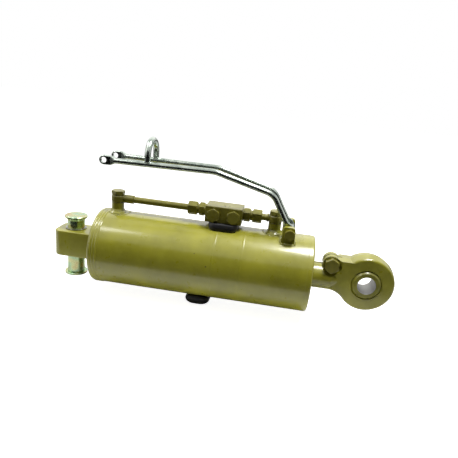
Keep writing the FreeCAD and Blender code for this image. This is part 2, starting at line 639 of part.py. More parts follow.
def banjo(side, x, way, collar):
    """Banjo eye with the brazed collar that holds the pipe; way is +1 or -1 along X."""
    eye = revolved(f"{side}_banjo_eye", [
        ("-banjo_half_height", "0"), ("-banjo_half_height", "banjo_ring_radius - 1.4"),
        ("-banjo_half_height + 2.2", "banjo_ring_radius"), ("banjo_half_height - 2.2", "banjo_ring_radius"),
        ("banjo_half_height", "banjo_ring_radius - 1.4"), ("banjo_half_height", "0")], "Z",
        (x, "0", "pipe_height"))
    end = f"(banjo_ring_radius + {collar})"
    neck = revolved(f"{side}_banjo_neck", [
        ("0", "0"), ("0", "banjo_half_height - 1"),
        (f"{way} * (banjo_ring_radius + 0.6)", "banjo_half_height"),
        (f"{way} * (banjo_ring_radius + 1)", "pipe_radius + collar_wall"),
        (f"{way} * ({end} - 0.4)", "pipe_radius + collar_wall"),
        (f"{way} * {end}", "pipe_radius + collar_wall - 0.8"), (f"{way} * {end}", "0")], "X",
        (x, "0", "pipe_height"))
    hole = bar(f"{side}_banjo_hole", "port_radius + run_gap", "2 * banjo_half_height + 2", "Z",
               (x, "0", f"{BANJO_FOOT} - 1"))
    start = f"{x} + {way} * (banjo_ring_radius + pipe_inset)"
    socket = ring(f"{side}_banjo_socket", "0", f"{way} * 40", "0", "pipe_radius", "X",
                  (start, "0", "pipe_height"))
    way_in = ring(f"{side}_banjo_way", "0", f"{way} * 40", "0", "connector_bore", "X",
                  (x, "0", "pipe_height"))
    return cut(f"{side}_banjo_whole", fused(f"{side}_banjo_body", eye, neck), hole, socket, way_in)


keep(banjo("rear", "rear_port_x", "1", "(1.5 + rear_collar)"), "rear_banjo")
keep(banjo("front", "front_port_x", "-1", "front_collar"), "front_banjo")

connectors = []
nuts = []
rings = []
for side, face, way, shoulder in (("rear", "valve_start", "-1", "rear_shoulder"),
                                  ("front", VALVE_END, "1", "0")):
    at = (face, "0", "pipe_height")
    hex_start = f"(end_washer + {shoulder})"
    hex_end = "(end_washer + connector_hex)"
    neck_end = f"({hex_end} + connector_neck)"
    grip_end = f"({neck_end} + connector_grip)"
    nut_end = f"({neck_end} + nut_length)"
    ring_end = f"({grip_end} + ring_length)"
    stem = revolved(f"{side}_connector_stem", [
        (f"-({way}) * connector_spigot", "connector_bore"), (f"-({way}) * connector_spigot", "port_radius"),
        (f"{way} * end_washer", "port_radius"), (f"{way} * end_washer", "fitting_flats / 2 - 0.4"),
        (f"{way} * ({hex_start} + 0.5)", "fitting_flats / 2 - 0.4"),
        (f"{way} * ({hex_start} + 0.5)", "connector_thread_radius"),
        (f"{way} * {grip_end}", "connector_thread_radius"), (f"{way} * {grip_end}", SOCKET),
        (f"{way} * pipe_in_connector", SOCKET), (f"{way} * pipe_in_connector", "connector_bore")],
        "X", at)
    lower = hex_start if way == "1" else hex_end
    flats = bevelled_hexagon(f"{side}_connector_flats", "fitting_flats", f"({hex_end} - {hex_start})", "X",
                             (f"{face} + {way} * {lower}", "0", "pipe_height"))
    hollow = ring(f"{side}_connector_hollow", "0", f"{way} * {hex_end} + {way}", "0", "connector_bore",
                  "X", at)
    hollow_wide = ring(f"{side}_connector_socket", f"{way} * pipe_in_connector", f"{way} * {hex_end} + {way}",
                       "0", SOCKET, "X", at)
    room = ring(f"{side}_spring_room", f"-({way}) * connector_spigot", "0", "0", "spring_room_radius", "X", at)
    connectors.append(cut(f"{side}_connector", fused(f"{side}_connector_body", stem, flats), hollow,
                          hollow_wide, room))
    lower = neck_end if way == "1" else nut_end
    nut_flats = bevelled_hexagon(f"{side}_nut_flats", "fitting_flats", "nut_length", "X",
                                 (f"{face} + {way} * {lower}", "0", "pipe_height"))
    nut_thread = ring(f"{side}_nut_thread", f"{way} * {neck_end} - {way}", f"{way} * {grip_end}", "0",
                      "connector_thread_radius", "X", at)
    nut_cone = ring(f"{side}_nut_cone", f"{way} * {grip_end}", f"{way} * {ring_end}", "0",
                    "pipe_radius + ring_wall", "X", at)
    nut_hole = ring(f"{side}_nut_hole", f"{way} * {ring_end}", f"{way} * {nut_end} + {way}", "0", SOCKET,
                    "X", at)
    nuts.append(cut(f"{side}_nut", nut_flats, nut_thread, nut_cone, nut_hole))
    rings.append(ring(f"{side}_cutting_ring", f"{way} * {grip_end}", f"{way} * {ring_end}", "pipe_radius",
                      "pipe_radius + ring_wall", "X", at))
keep(group("connector_pair", *connectors), "male_connectors")
keep(group("nut_pair", *nuts), "pipe_nuts")
keep(group("cutting_ring_pair", *rings), "cutting_rings")
keep(ring("rear_tube", "rear_port_x + banjo_ring_radius + pipe_inset", "valve_start - pipe_in_connector",
          "pipe_radius - pipe_wall", "pipe_radius", "X", ("0", "0", "pipe_height")), "rear_pipe")
keep(ring("front_tube", f"{VALVE_END} + pipe_in_connector", "front_port_x - banjo_ring_radius - pipe_inset",
          "pipe_radius - pipe_wall", "pipe_radius", "X", ("0", "0", "pipe_height")), "front_pipe")

# ---------------------------------------------------------------- lock valve
valve_blank = doc.addObject("Part::Box", "valve_blank")
valve_blank.setExpression("Length", sheet("valve_length"))
valve_blank.setExpression("Width", sheet("2 * valve_half_depth"))
valve_blank.setExpression("Height", sheet("valve_top - valve_bottom"))
place(valve_blank, ("valve_start", "-valve_half_depth", "valve_bottom"))
doc.recompute()
valve_chamfered = doc.addObject("Part::Chamfer", "valve_chamfered")
valve_chamfered.Base = valve_blank
valve_chamfered.Edges = [(i, read("valve_edge"), read("valve_edge")) for i in range(1, 13)]
SEAT_NEAR = "pilot_bore_half"
SEAT_FAR = "(pilot_bore_half + seat_land)"
SPIGOT_END = "(valve_length / 2 - connector_spigot)"
bores = [ring("pilot_bore", f"-{SEAT_NEAR}", SEAT_NEAR, "0", "pilot_bore_radius", "X",
              (VALVE_MIDDLE, "0", "pipe_height"))]
for side, way in (("rear", "-1"), ("front", "1")):
    middle = (VALVE_MIDDLE, "0", "pipe_height")
    bores.append(ring(f"{side}_seat_hole", "0", f"{way} * {SEAT_FAR}", "0", "seat_radius", "X", middle))
    bores.append(ring(f"{side}_chamber", f"{way} * {SEAT_FAR}", f"{way} * {SPIGOT_END}", "0",
                      "chamber_radius", "X", middle))
    bores.append(ring(f"{side}_pipe_port", f"{way} * {SPIGOT_END}", f"{way} * (valve_length / 2 + 1)",
                      "0", "port_radius", "X", middle))
    port_x = REAR_SIDE_PORT if side == "rear" else FRONT_SIDE_PORT
    drill_x = f"{port_x} - ({way}) * drilling_offset"
    bores.append(bar(f"{side}_drilling", "drilling_radius", "2 * (valve_half_depth - 3)", "Y",
                     (drill_x, "-valve_half_depth + 3", "side_port_height")))
    bores.append(bar(f"{side}_hose_port", "port_radius", "hose_port_depth + 1", "Y",
                     (port_x, "valve_half_depth - hose_port_depth", "side_port_height")))
    bores.append(bar(f"{side}_plug_port", "port_radius", "hose_port_depth + 1", "Y",
                     (port_x, "-valve_half_depth - 1", "side_port_height")))
bores.append(bar("top_plug_hole", "top_plug_radius", "8", "Z",
                 (VALVE_MIDDLE, "-8", "valve_top - 7")))
keep(cut("valve_bored", valve_chamfered, *bores), "valve_block")

plugs = []
for side, port_x in (("rear", REAR_SIDE_PORT), ("front", FRONT_SIDE_PORT)):
    head = bevelled_hexagon(f"{side}_plug_head", "plug_head_flats", "plug_head_length", "Y",
                            (port_x, "-valve_half_depth - plug_head_length", "side_port_height"))
    thread = bar(f"{side}_plug_thread", "port_radius", "plug_thread_length + 1", "Y",
                 (port_x, "-valve_half_depth - 1", "side_port_height"))
    plugs.append(fused(f"{side}_plug", head, thread))
keep(group("plug_pair", *plugs), "port_plugs")
top_plug_blank = bar("top_plug_blank", "top_plug_radius", "5.6", "Z", (VALVE_MIDDLE, "-8", "valve_top - 6"))
top_plug_socket = hexagon("top_plug_socket", "2.5", "2.5", "Z", (VALVE_MIDDLE, "-8", "valve_top - 2.4"))
keep(cut("top_plug", top_plug_blank, top_plug_socket), "valve_top_plug")

STEM_END = f"({SEAT_FAR} - poppet_nose - pilot_travel - seat_gap)"
keep(revolved("pilot_turned", [
    (f"-{STEM_END}", "0"), (f"-{STEM_END}", "pilot_stem_radius"),
    ("-pilot_piston_half", "pilot_stem_radius"), ("-pilot_piston_half", "pilot_bore_radius - run_gap"),
    ("-1", "pilot_bore_radius - run_gap"), ("-1", "pilot_bore_radius - 1.2"),
    ("1", "pilot_bore_radius - 1.2"), ("1", "pilot_bore_radius - run_gap"),
    ("pilot_piston_half", "pilot_bore_radius - run_gap"), ("pilot_piston_half", "pilot_stem_radius"),
    (STEM_END, "pilot_stem_radius"), (STEM_END, "0")], "X", (VALVE_MIDDLE, "0", "pipe_height")),
     "pilot_piston")
POPPET_START = f"({SEAT_FAR} + seat_gap)"
POPPET_END = f"({POPPET_START} + poppet_length)"
for side, way in (("rear", "-1"), ("front", "1")):
    middle = (VALVE_MIDDLE, "0", "pipe_height")
    keep(revolved(f"{side}_poppet_turned", [
        (f"{way} * ({POPPET_START} - poppet_nose)", "0"),
        (f"{way} * ({POPPET_START} - poppet_nose)", "poppet_tip_radius"),
        (f"{way} * {POPPET_START}", "seat_radius - 0.4"),
        (f"{way} * {POPPET_START}", "chamber_radius - run_gap"),
        (f"{way} * {POPPET_END}", "chamber_radius - run_gap"), (f"{way} * {POPPET_END}", "0")],
        "X", middle), f"{side}_poppet")


def coil_spring(node, way):
    """Spring between a poppet and the connector: a wire swept along a helix, set by the sheet."""
    wire_radius = read("spring_wire_radius")
    coil_radius = read("spring_coil_radius")
    start = read("pilot_bore_half") + read("seat_land") + read("seat_gap") + read("poppet_length") + wire_radius
    end = read("valve_length") / 2 - read("pilot_travel") - read("seat_gap") - wire_radius
    turns = read("spring_turns")
    helix = Part.makeHelix((end - start) / turns, end - start, coil_radius)
    circle = Part.Wire(Part.makeCircle(wire_radius, FreeCAD.Vector(coil_radius, 0, 0),
                                       FreeCAD.Vector(0, 1, 0)))
    coil = Part.Wire(helix).makePipeShell([circle], True, True)
    item = feature(node + "_coil", coil)
    foot = start if way < 0 else -end
    centre = read("valve_start") + read("valve_length") / 2
    item.Placement = FreeCAD.Placement(FreeCAD.Vector(centre - foot, 0, read("pipe_height")),
                                       FreeCAD.Rotation(FreeCAD.Vector(0, 1, 0), -90))
    return item


keep(coil_spring("rear_poppet_spring", -1), "rear_poppet_spring")
keep(coil_spring("front_poppet_spring", 1), "front_poppet_spring")

# ---------------------------------------------------------------- rubber pad and buffer
PAD_FOOT = "(barrel_radius - 18)"
pad_main = plate("pad_main", "YZ_Plane", [
    ("-pad_half_width", PAD_FOOT), ("pad_half_width", PAD_FOOT),
    ("pad_half_width", "barrel_radius - 3"), ("pad_half_width - pad_shoulder", "valve_bottom"),
    ("-pad_half_width + pad_shoulder", "valve_bottom"), ("-pad_half_width", "barrel_radius - 3")],
    "pad_length", ("pad_start + pad_length / 2", "0", "0"))
pad_tab = plate("pad_tab", "YZ_Plane", [
    ("-tab_half_width", PAD_FOOT), ("tab_half_width", PAD_FOOT), ("tab_half_width", "barrel_radius"),
    ("tab_half_width - pad_shoulder", "valve_bottom"), ("-tab_half_width + pad_shoulder", "valve_bottom"),
    ("-tab_half_width", "barrel_radius")], "pad_tab + 2", ("pad_start - pad_tab / 2 + 1", "0", "0"))
keep(cut("pad_saddled", fused("pad_whole", pad_main, pad_tab), barrel_envelope), "valve_pad")

buffer_blank = doc.addObject("Part::Box", "buffer_blank")
buffer_blank.setExpression("Length", sheet("buffer_length"))
buffer_blank.setExpression("Width", sheet("2 * buffer_half_width"))
buffer_blank.setExpression("Height", sheet("buffer_drop + barrel_radius / 2"))
place(buffer_blank, ("buffer_start", "-buffer_half_width", "-barrel_radius - buffer_drop"))


def buffer_upright(edge):
    return edge.BoundBox.ZLength > 10


def buffer_rim(edge):
    return edge.BoundBox.ZMax < -read("barrel_radius") - read("buffer_drop") + 0.01


buffer_plan = round_edges("buffer_plan", buffer_blank, read("buffer_round"), buffer_upright)
buffer_rounded = round_edges("buffer_rounded", buffer_plan, read("buffer_round") * 0.6, buffer_rim)
keep(cut("buffer_saddled", buffer_rounded, barrel_envelope), "rubber_buffer")

# ---------------------------------------------------------------- handle lugs and pivot
PIVOT = ("pivot_x", "0", "pivot_height")


def lug_shoulder(edge):
    box = edge.BoundBox
    crown = read("pivot_height") + read("lug_crown")
    return box.YLength > 1 and box.XLength < 0.01 and box.ZMin > crown - 0.01


for side, sign in (("front", "-1"), ("back", "1")):
    lug_foot = "(barrel_radius / 2 - pivot_height)"
    lug_plate = plate(f"{side}_lug_plate", "XZ_Plane", [
        ("-lug_rear - lug_lean", lug_foot), ("-lug_rear - lug_lean", "-pivot_rise - 8"),
        ("-lug_rear", "lug_crown"), ("lug_front", "lug_crown"),
        ("lug_front + lug_lean", "-pivot_rise - 8"), ("lug_front + lug_lean", lug_foot)],
        "lug_thick", ("pivot_x", f"{sign} * (lug_inner + lug_thick / 2)", "pivot_height"))
    start = "lug_inner" if side == "back" else f"-{LUG_OUTER}"
    lug_hole = bar(f"{side}_lug_hole", "pivot_bolt_radius + run_gap", "lug_thick + 2", "Y",
                   ("pivot_x", f"{start} - 1", "pivot_height"))
    lug_rounded = round_edges(f"{side}_lug_rounded", lug_plate, read("lug_corner"), lug_shoulder)
    keep(cut(f"{side}_lug_whole", lug_rounded, lug_hole, barrel_envelope), f"handle_lug_{side}")
bolt_head = bevelled_hexagon("pivot_head", "bolt_head_flats", "bolt_head_height", "Y",
                             ("pivot_x", f"-{LUG_OUTER} - bolt_head_height", "pivot_height"))
bolt_shank = bar("pivot_shank", "pivot_bolt_radius", f"2 * {LUG_OUTER} + 0.5", "Y",
                 ("pivot_x", f"-{LUG_OUTER} - 0.5", "pivot_height"))
keep(fused("pivot_bolt_whole", bolt_head, bolt_shank), "handle_pivot_bolt")
keep(group("pivot_washers",
           ring("front_pivot_washer", f"-{PADDLE_OUTER} - bolt_washer_thick", f"-{PADDLE_OUTER}",
                "pivot_bolt_radius + run_gap", "bolt_washer_radius", "Y", PIVOT),
           ring("back_pivot_washer", PADDLE_OUTER, f"{PADDLE_OUTER} + bolt_washer_thick",
                "pivot_bolt_radius + run_gap", "bolt_washer_radius", "Y", PIVOT)), "handle_washers")

# ---------------------------------------------------------------- handle bars
SPACER_HALF = f"({PADDLE_OUTER} - paddle_thick)"
keep(ring("spacer_tube", f"-{SPACER_HALF}", SPACER_HALF, "pivot_bolt_radius + run_gap",
          "pivot_bolt_radius + spacer_wall", "Y", PIVOT), "handle_spacer")


def rounded_path(points, radii):
    """Straight runs joined by tangent arcs; radii belong to the inner points."""
    edges = []
    last = points[0]
    for before, corner, after, radius in zip(points, points[1:], points[2:], radii):
        u = (before - corner).normalize()
        v = (after - corner).normalize()
        half = u.getAngle(v) / 2
        reach = radius / math.tan(half)
        enter = corner + u * reach
        leave = corner + v * reach
        centre = corner + (u + v).normalize() * (radius / math.sin(half))
        middle = centre + (corner - centre).normalize() * radius
        edges.append(Part.makeLine(last, enter))
        edges.append(Part.Arc(enter, middle, leave).toShape())
        last = leave
    edges.append(Part.makeLine(last, points[-1]))
    return Part.Wire(edges)


def swept_bar(path, radius):
    start = path.Edges[0].Vertexes[0].Point
    along = path.Edges[0].tangentAt(path.Edges[0].FirstParameter)
    circle = Part.Wire(Part.makeCircle(radius, start, along))
    return path.makePipeShell([circle], True, True)




def section_wire(x, half_width, half_thick, corner):
    corners = []
    for y_sign, z_sign, first in ((1, 1, 0), (-1, 1, 90), (-1, -1, 180), (1, -1, 270)):
        centre = FreeCAD.Vector(x, y_sign * (half_thick - corner), z_sign * (half_width - corner))
        arc = []
        for step in (0, 45, 90):
            angle = math.radians(first + step)
            arc.append(centre + FreeCAD.Vector(0, math.cos(angle), math.sin(angle)) * corner)
        corners.append(arc)
    edges = []
    for here, there in zip(corners, corners[1:] + corners[:1]):
        edges.append(Part.Arc(*here).toShape())
        edges.append(Part.makeLine(here[2], there[0]))
    return Part.Wire(edges)


def circle_wire(x, radius, spread):
    """A circle in eight arcs that answer the eight edges of section_wire."""
    edges = []
    for quarter in (0, 90, 180, 270):
        for first, last in ((45 - spread, 45 + spread), (45 + spread, 135 - spread)):
            arc = [FreeCAD.Vector(x, radius * math.cos(math.radians(quarter + angle)),
                                  radius * math.sin(math.radians(quarter + angle)))
                   for angle in (first, (first + last) / 2, last)]
            edges.append(Part.Arc(*arc).toShape())
    return Part.Wire(edges)


def paddle(flat, hole_radius):
    """Flattened end: hole at the origin, the round bar leaves along +X."""
    half_width = read("paddle_half_width")
    half_thick = read("paddle_thick") / 2
    corner = read("paddle_corner")
    round_end = Part.makeCylinder(half_width, 2 * half_thick, FreeCAD.Vector(0, -half_thick, 0),
                                  FreeCAD.Vector(0, 1, 0))
    straight = Part.makeBox(flat, 2 * half_thick, 2 * half_width,
                            FreeCAD.Vector(0, -half_thick, -half_width))
    blank = round_end.fuse(straight).removeSplitter()
    rim = []
    for edge in blank.Edges:
        box = edge.BoundBox
        if box.YLength < 0.01 and abs(abs(box.YMax) - half_thick) < 0.01 and box.XMin < flat - 0.01:
            rim.append(edge)
    flat_part = blank.makeFillet(corner, rim)
    neck_end = flat + read("paddle_neck")
    neck = Part.makeLoft([section_wire(flat, half_width, half_thick, corner),
                          circle_wire(neck_end, read("handle_bar_radius"), 25)], True, True)
    hole = Part.makeCylinder(hole_radius, 4 * half_thick, FreeCAD.Vector(0, -2 * half_thick, 0),
                             FreeCAD.Vector(0, 1, 0))
    return flat_part.fuse(neck).cut(hole)


def aimed(shape, origin, toward):
    """Turn a piece made along +X so that it starts at origin and runs toward a point."""
    along = (toward - origin).normalize()
    across = FreeCAD.Vector(0, 1, 0)
    across = (across - along * across.dot(along)).normalize()
    up = along.cross(across)
    turned = FreeCAD.Matrix(along.x, across.x, up.x, origin.x,
                            along.y, across.y, up.y, origin.y,
                            along.z, across.z, up.z, origin.z, 0, 0, 0, 1)
    return shape.transformed(turned)


def spread_at(x):
    """Distance of a handle bar from the middle at a station along the link."""
    pivot_spread = (read("lug_inner") - read("seat_gap") - read("bolt_washer_thick")
                    - read("paddle_thick") / 2)
    share = (read("handle_knee_x") - x) / (read("handle_knee_x") - read("handle_end_x"))
    return pivot_spread + (read("handle_end_spread") - pivot_spread) * max(share, 0)


def handle_bar(side):
    points = []
    for x, z in ((read("handle_end_x"), read("handle_height") - read("end_drop")),
                 (read("handle_bend_x"), read("handle_height")),
                 (read("handle_knee_x"), read("handle_knee_height")),
                 (read("pivot_x"), read("pivot_height"))):
        points.append(FreeCAD.Vector(x, side * spread_at(x), z))
    free_end = aimed(paddle(read("end_paddle"), read("end_hole_radius")), points[0], points[1])
    pivot_end = aimed(paddle(read("pivot_paddle"), read("pivot_bolt_radius") + read("run_gap")),
                      points[3], points[2])
    start = points[0] + (points[1] - points[0]).normalize() * (read("end_paddle") + read("paddle_neck"))
    end = points[3] + (points[2] - points[3]).normalize() * (read("pivot_paddle") + read("paddle_neck"))
    path = rounded_path([start, points[1], points[2], end], [read("bend_round"), read("knee_round")])
    middle = swept_bar(path, read("handle_bar_radius"))
    return middle.fuse([free_end, pivot_end]).removeSplitter()


front_bar = feature("front_bar_shape", handle_bar(-1))
keep(front_bar, "handle_bar_front")
back_bar = feature("back_bar_shape", handle_bar(1))
keep(back_bar, "handle_bar_back")

loop_spread = spread_at(read("loop_x"))
loop_foot = read("handle_height") + 0.55 * read("handle_bar_radius")
loop_top = read("handle_height") + read("loop_rise")
loop_points = [FreeCAD.Vector(0, -loop_spread, loop_foot), FreeCAD.Vector(0, -loop_spread, loop_top),
               FreeCAD.Vector(0, loop_spread, loop_top), FreeCAD.Vector(0, loop_spread, loop_foot)]
loop_path = rounded_path(loop_points, [loop_spread * 0.98, loop_spread * 0.98])
loop_blank = feature("loop_blank", swept_bar(loop_path, read("loop_bar_radius")))
place(loop_blank, ("loop_x", "0", "0"))
keep(cut("loop_on_bars", loop_blank, front_bar, back_bar), "rope_loop")

# ---------------------------------------------------------------- piston rod
rod_turned = revolved("rod_turned", [
    (NUT_START, "0"), (NUT_START, "piston_thread_radius - 1.5"),
    (f"{NUT_START} + 1.5", "piston_thread_radius"), (PISTON_START, "piston_thread_radius"),
    (PISTON_START, "piston_spigot_radius"), (PISTON_END, "piston_spigot_radius"),
    (PISTON_END, "rod_radius - 1.2"), (f"{PISTON_END} + 1.2", "rod_radius"), (EYE_START, "rod_radius"),
    (EYE_START, "eye_thread_radius"), (f"{EYE_START} + eye_thread_length - 2", "eye_thread_radius"),
    (f"{EYE_START} + eye_thread_length", "eye_thread_radius - 2"),
    (f"{EYE_START} + eye_thread_length", "0")])
keep(rod_turned, "piston_rod")
SEAL_MIDDLE = f"({PISTON_START} + piston_length / 2)"
PISTON_RIM = f"({BORE} - piston_play)"
piston_profile = [(PISTON_START, "piston_spigot_radius"), (PISTON_START, f"{PISTON_RIM} - 1.5"),
                  (f"{PISTON_START} + 1.5", PISTON_RIM)]
GROOVES = (("-15", "-9", "3"), ("-5", "5", "6"), ("9", "15", "3"))
for near, far, deep in GROOVES:
    piston_profile += [(f"{SEAL_MIDDLE} + {near}", PISTON_RIM), (f"{SEAL_MIDDLE} + {near}", f"{BORE} - {deep}"),
                       (f"{SEAL_MIDDLE} + {far}", f"{BORE} - {deep}"), (f"{SEAL_MIDDLE} + {far}", PISTON_RIM)]
piston_profile += [(f"{PISTON_END} - 1.5", PISTON_RIM), (PISTON_END, f"{PISTON_RIM} - 1.5"),
                   (PISTON_END, "piston_spigot_radius")]
keep(revolved("piston_turned", piston_profile), "piston")
keep(ring("piston_seal_ring", f"{SEAL_MIDDLE} - 5", f"{SEAL_MIDDLE} + 5", f"{BORE} - 6",
          f"{BORE} - seal_gap"), "piston_seal")
keep(group("piston_guides",
           ring("rear_guide", f"{SEAL_MIDDLE} - 15", f"{SEAL_MIDDLE} - 9", f"{BORE} - 3",
                f"{BORE} - run_gap"),
           ring("front_guide", f"{SEAL_MIDDLE} + 9", f"{SEAL_MIDDLE} + 15", f"{BORE} - 3",
                f"{BORE} - run_gap")), "piston_guide_rings")
piston_nut_flats = bevelled_hexagon("piston_nut_flats_shape", "piston_nut_flats", "piston_nut_length",
                                    "X", (NUT_START, "0", "0"))
piston_nut_thread = bar("piston_nut_thread", "piston_thread_radius", "piston_nut_length + 2", "X",
                        (f"{NUT_START} - 1", "0", "0"))
keep(cut("piston_nut_whole", piston_nut_flats, piston_nut_thread), "piston_nut")

# ---------------------------------------------------------------- forged rod eye
eye_disc = revolved("eye_disc", [
    ("-eye_half_thick", "0"), ("-eye_half_thick", "eye_radius - eye_draft - eye_edge"),
    ("-eye_half_thick + eye_edge * 0.3", "eye_radius - eye_draft - eye_edge * 0.3"),
    ("-eye_half_thick + eye_edge", "eye_radius - eye_draft * 0.8"), ("0", "eye_radius"),
    ("eye_half_thick - eye_edge", "eye_radius - eye_draft * 0.8"),
    ("eye_half_thick - eye_edge * 0.3", "eye_radius - eye_draft - eye_edge * 0.3"),
    ("eye_half_thick", "eye_radius - eye_draft - eye_edge"), ("eye_half_thick", "0")],
    "Y", (EYE_X, "0", "0"))
shank = revolved("eye_shank", [
    (EYE_START, "0"), (EYE_START, "shank_radius - 1"), (f"{EYE_START} + 1", "shank_radius"),
    (f"{CLAMP_X} + 2", "shank_radius"), (f"{CLAMP_X} + 14", "eye_half_thick"),
    (f"{CLAMP_X} + 24", "eye_half_thick * 0.7"), (f"{CLAMP_X} + 24", "0")])


def neck_web():
    """Drafted web between shank and eye: hollow underneath, filled up to the clamp ear on top."""
    eye_x = read("barrel_start") + read("barrel_length") + read("eye_reach")
    clamp_x = read("barrel_start") + read("barrel_length") + read("clamp_x")
    halves = []
    for way in (-1, 1):
        wires = []
        for y, shrink in ((0, 0), (way * read("eye_half_thick"), read("eye_draft"))):
            rim = read("eye_radius") - shrink
            low = read("shank_radius") - shrink * 0.3
            hollow = read("neck_round")
            centre_z = -low - hollow
            back = math.sqrt((rim + hollow) ** 2 - centre_z ** 2)
            centre = FreeCAD.Vector(eye_x - back, y, centre_z)
            to_eye = (FreeCAD.Vector(eye_x, y, 0) - centre).normalize()
            start = FreeCAD.Vector(centre.x, y, -low)
            end = centre + to_eye * hollow
            middle_way = (FreeCAD.Vector(0, 0, 1) + to_eye).normalize()
            middle = centre + middle_way * hollow
            top = read("neck_top") - shrink * 0.5
            tail = clamp_x - 6
            corners = [FreeCAD.Vector(eye_x - rim * 0.35, y, end.z), FreeCAD.Vector(eye_x - rim * 0.35, y, top),
                       FreeCAD.Vector(clamp_x, y, top), FreeCAD.Vector(tail, y, top - 8),
                       FreeCAD.Vector(tail, y, -low)]
            edges = [Part.Arc(start, middle, end).toShape(), Part.makeLine(end, corners[0])]
            edges += [Part.makeLine(a, b) for a, b in zip(corners, corners[1:])]
            edges.append(Part.makeLine(corners[-1], start))
            wires.append(Part.Wire(edges))
        halves.append(Part.makeLoft(wires, True, True))
    web = halves[0].fuse(halves[1]).removeSplitter()
    shank = read("shank_radius")
    hollow = read("neck_round")
    back = math.sqrt((read("eye_radius") + hollow) ** 2 - (shank + hollow) ** 2)
    arc_x = eye_x - back
    rim_x = arc_x + hollow * 0.95
    rim = shank + hollow - math.sqrt(hollow ** 2 - (rim_x - arc_x) ** 2)
    middle_x = arc_x + hollow * 0.6
    middle = shank + hollow - math.sqrt(hollow ** 2 - (middle_x - arc_x) ** 2)
    swell = [Part.makeLine(FreeCAD.Vector(clamp_x - 20, 0, 0), FreeCAD.Vector(clamp_x - 20, 0, shank)),
             Part.makeLine(FreeCAD.Vector(clamp_x - 20, 0, shank), FreeCAD.Vector(arc_x, 0, shank)),
             Part.Arc(FreeCAD.Vector(arc_x, 0, shank), FreeCAD.Vector(middle_x, 0, middle),
                      FreeCAD.Vector(rim_x, 0, rim)).toShape(),
             Part.makeLine(FreeCAD.Vector(rim_x, 0, rim), FreeCAD.Vector(eye_x, 0, rim)),
             Part.makeLine(FreeCAD.Vector(eye_x, 0, rim), FreeCAD.Vector(eye_x, 0, 0)),
             Part.makeLine(FreeCAD.Vector(eye_x, 0, 0), FreeCAD.Vector(clamp_x - 20, 0, 0))]
    swollen = Part.Face(Part.Wire(swell)).revolve(FreeCAD.Vector(), FreeCAD.Vector(1, 0, 0), 360)
    size = 4 * read("eye_radius")
    above = Part.makeBox(2 * size, size, size, FreeCAD.Vector(eye_x - size, -size / 2, 0))
    return web.common(above).fuse(web.common(swollen)).removeSplitter()


web = feature("eye_web", neck_web())
POCKET_DEEP = "(shank_radius - clamp_floor)"
ear = bar("clamp_ear", "clamp_ear_radius", "2 * clamp_floor", "Y", (CLAMP_X, "-clamp_floor", "clamp_height"))
ear_cheeks = revolved("clamp_cheeks", [
    (f"-shank_radius + 2", "0"), ("-shank_radius + 2", "clamp_ear_radius - 3"),
    ("-clamp_floor", "clamp_ear_radius"), ("clamp_floor", "clamp_ear_radius"),
    ("shank_radius - 2", "clamp_ear_radius - 3"), ("shank_radius - 2", "0")], "Y",
    (CLAMP_X, "0", "clamp_height"))
forging = fused("eye_forging", eye_disc, shank, web, ear, ear_cheeks)
socket = doc.addObject("Part::Sphere", "ball_socket")
socket.setExpression("Radius", sheet("ball_radius + run_gap"))
place(socket, (EYE_X, "0", "0"))
eye_tools = [socket]
for side, sign in (("front", "-1"), ("back", "1")):
    eye_tools.append(revolved(f"{side}_mouth", [
        (f"{sign} * (eye_half_thick - 6)", "0"), (f"{sign} * (eye_half_thick - 6)", "ball_mouth_radius - 3"),
        (f"{sign} * (eye_half_thick - 2)", "ball_mouth_radius - 0.6"),
        (f"{sign} * (eye_half_thick + 1)", "ball_mouth_radius + 1"), (f"{sign} * (eye_half_thick + 1)", "0")],
        "Y", (EYE_X, "0", "0")))
    eye_tools.append(revolved(f"{side}_pocket", [
        (f"{sign} * clamp_floor", "0"), (f"{sign} * clamp_floor", "clamp_pocket_radius"),
        (f"{sign} * (shank_radius + 2)", "clamp_pocket_radius + clamp_pocket_draft"),
        (f"{sign} * (shank_radius + 2)", "0")], "Y", (CLAMP_X, "0", "clamp_height")))
eye_tools.append(bar("clamp_hole", "clamp_bolt_radius", "2 * shank_radius + 10", "Y",
                       (CLAMP_X, "-shank_radius - 5", "clamp_height")))
eye_tools.append(bar("eye_thread", "eye_thread_radius", "eye_thread_length + 3", "X",
                       (f"{EYE_START} - 1", "0", "0")))
slit = doc.addObject("Part::Box", "clamp_slit")
slit.setExpression("Length", sheet("eye_thread_length + 3"))
slit.setExpression("Width", sheet("2 * slit_half_width"))
slit.setExpression("Height", sheet("clamp_height + clamp_ear_radius + 5"))
place(slit, (f"{EYE_START} - 1", "-slit_half_width", "0"))
eye_tools.append(slit)
machined = forging
for number, tool in enumerate(eye_tools):
    machined = cut(f"eye_cut_{number}", machined, tool)
    machined.Refine = False
keep(machined, "rod_eye")

SEAT_Y = "(clamp_floor + clamp_washer_thick)"
clamp_head = bevelled_hexagon("clamp_head", "clamp_bolt_flats", "clamp_head_height", "Y",
                              (CLAMP_X, f"-{SEAT_Y} - clamp_head_height", "clamp_height"))
clamp_shank = bar("clamp_shank", "clamp_bolt_radius",
                  f"{SEAT_Y} + clamp_floor + 1", "Y",
                  (CLAMP_X, f"-{SEAT_Y} - 0.5", "clamp_height"))
keep(fused("clamp_bolt_whole", clamp_head, clamp_shank), "clamp_bolt")
keep(ring("clamp_washer_ring", f"-{SEAT_Y}", "-clamp_floor", "clamp_bolt_radius + run_gap",
          "clamp_washer_radius", "Y", (CLAMP_X, "0", "clamp_height")), "clamp_washer")

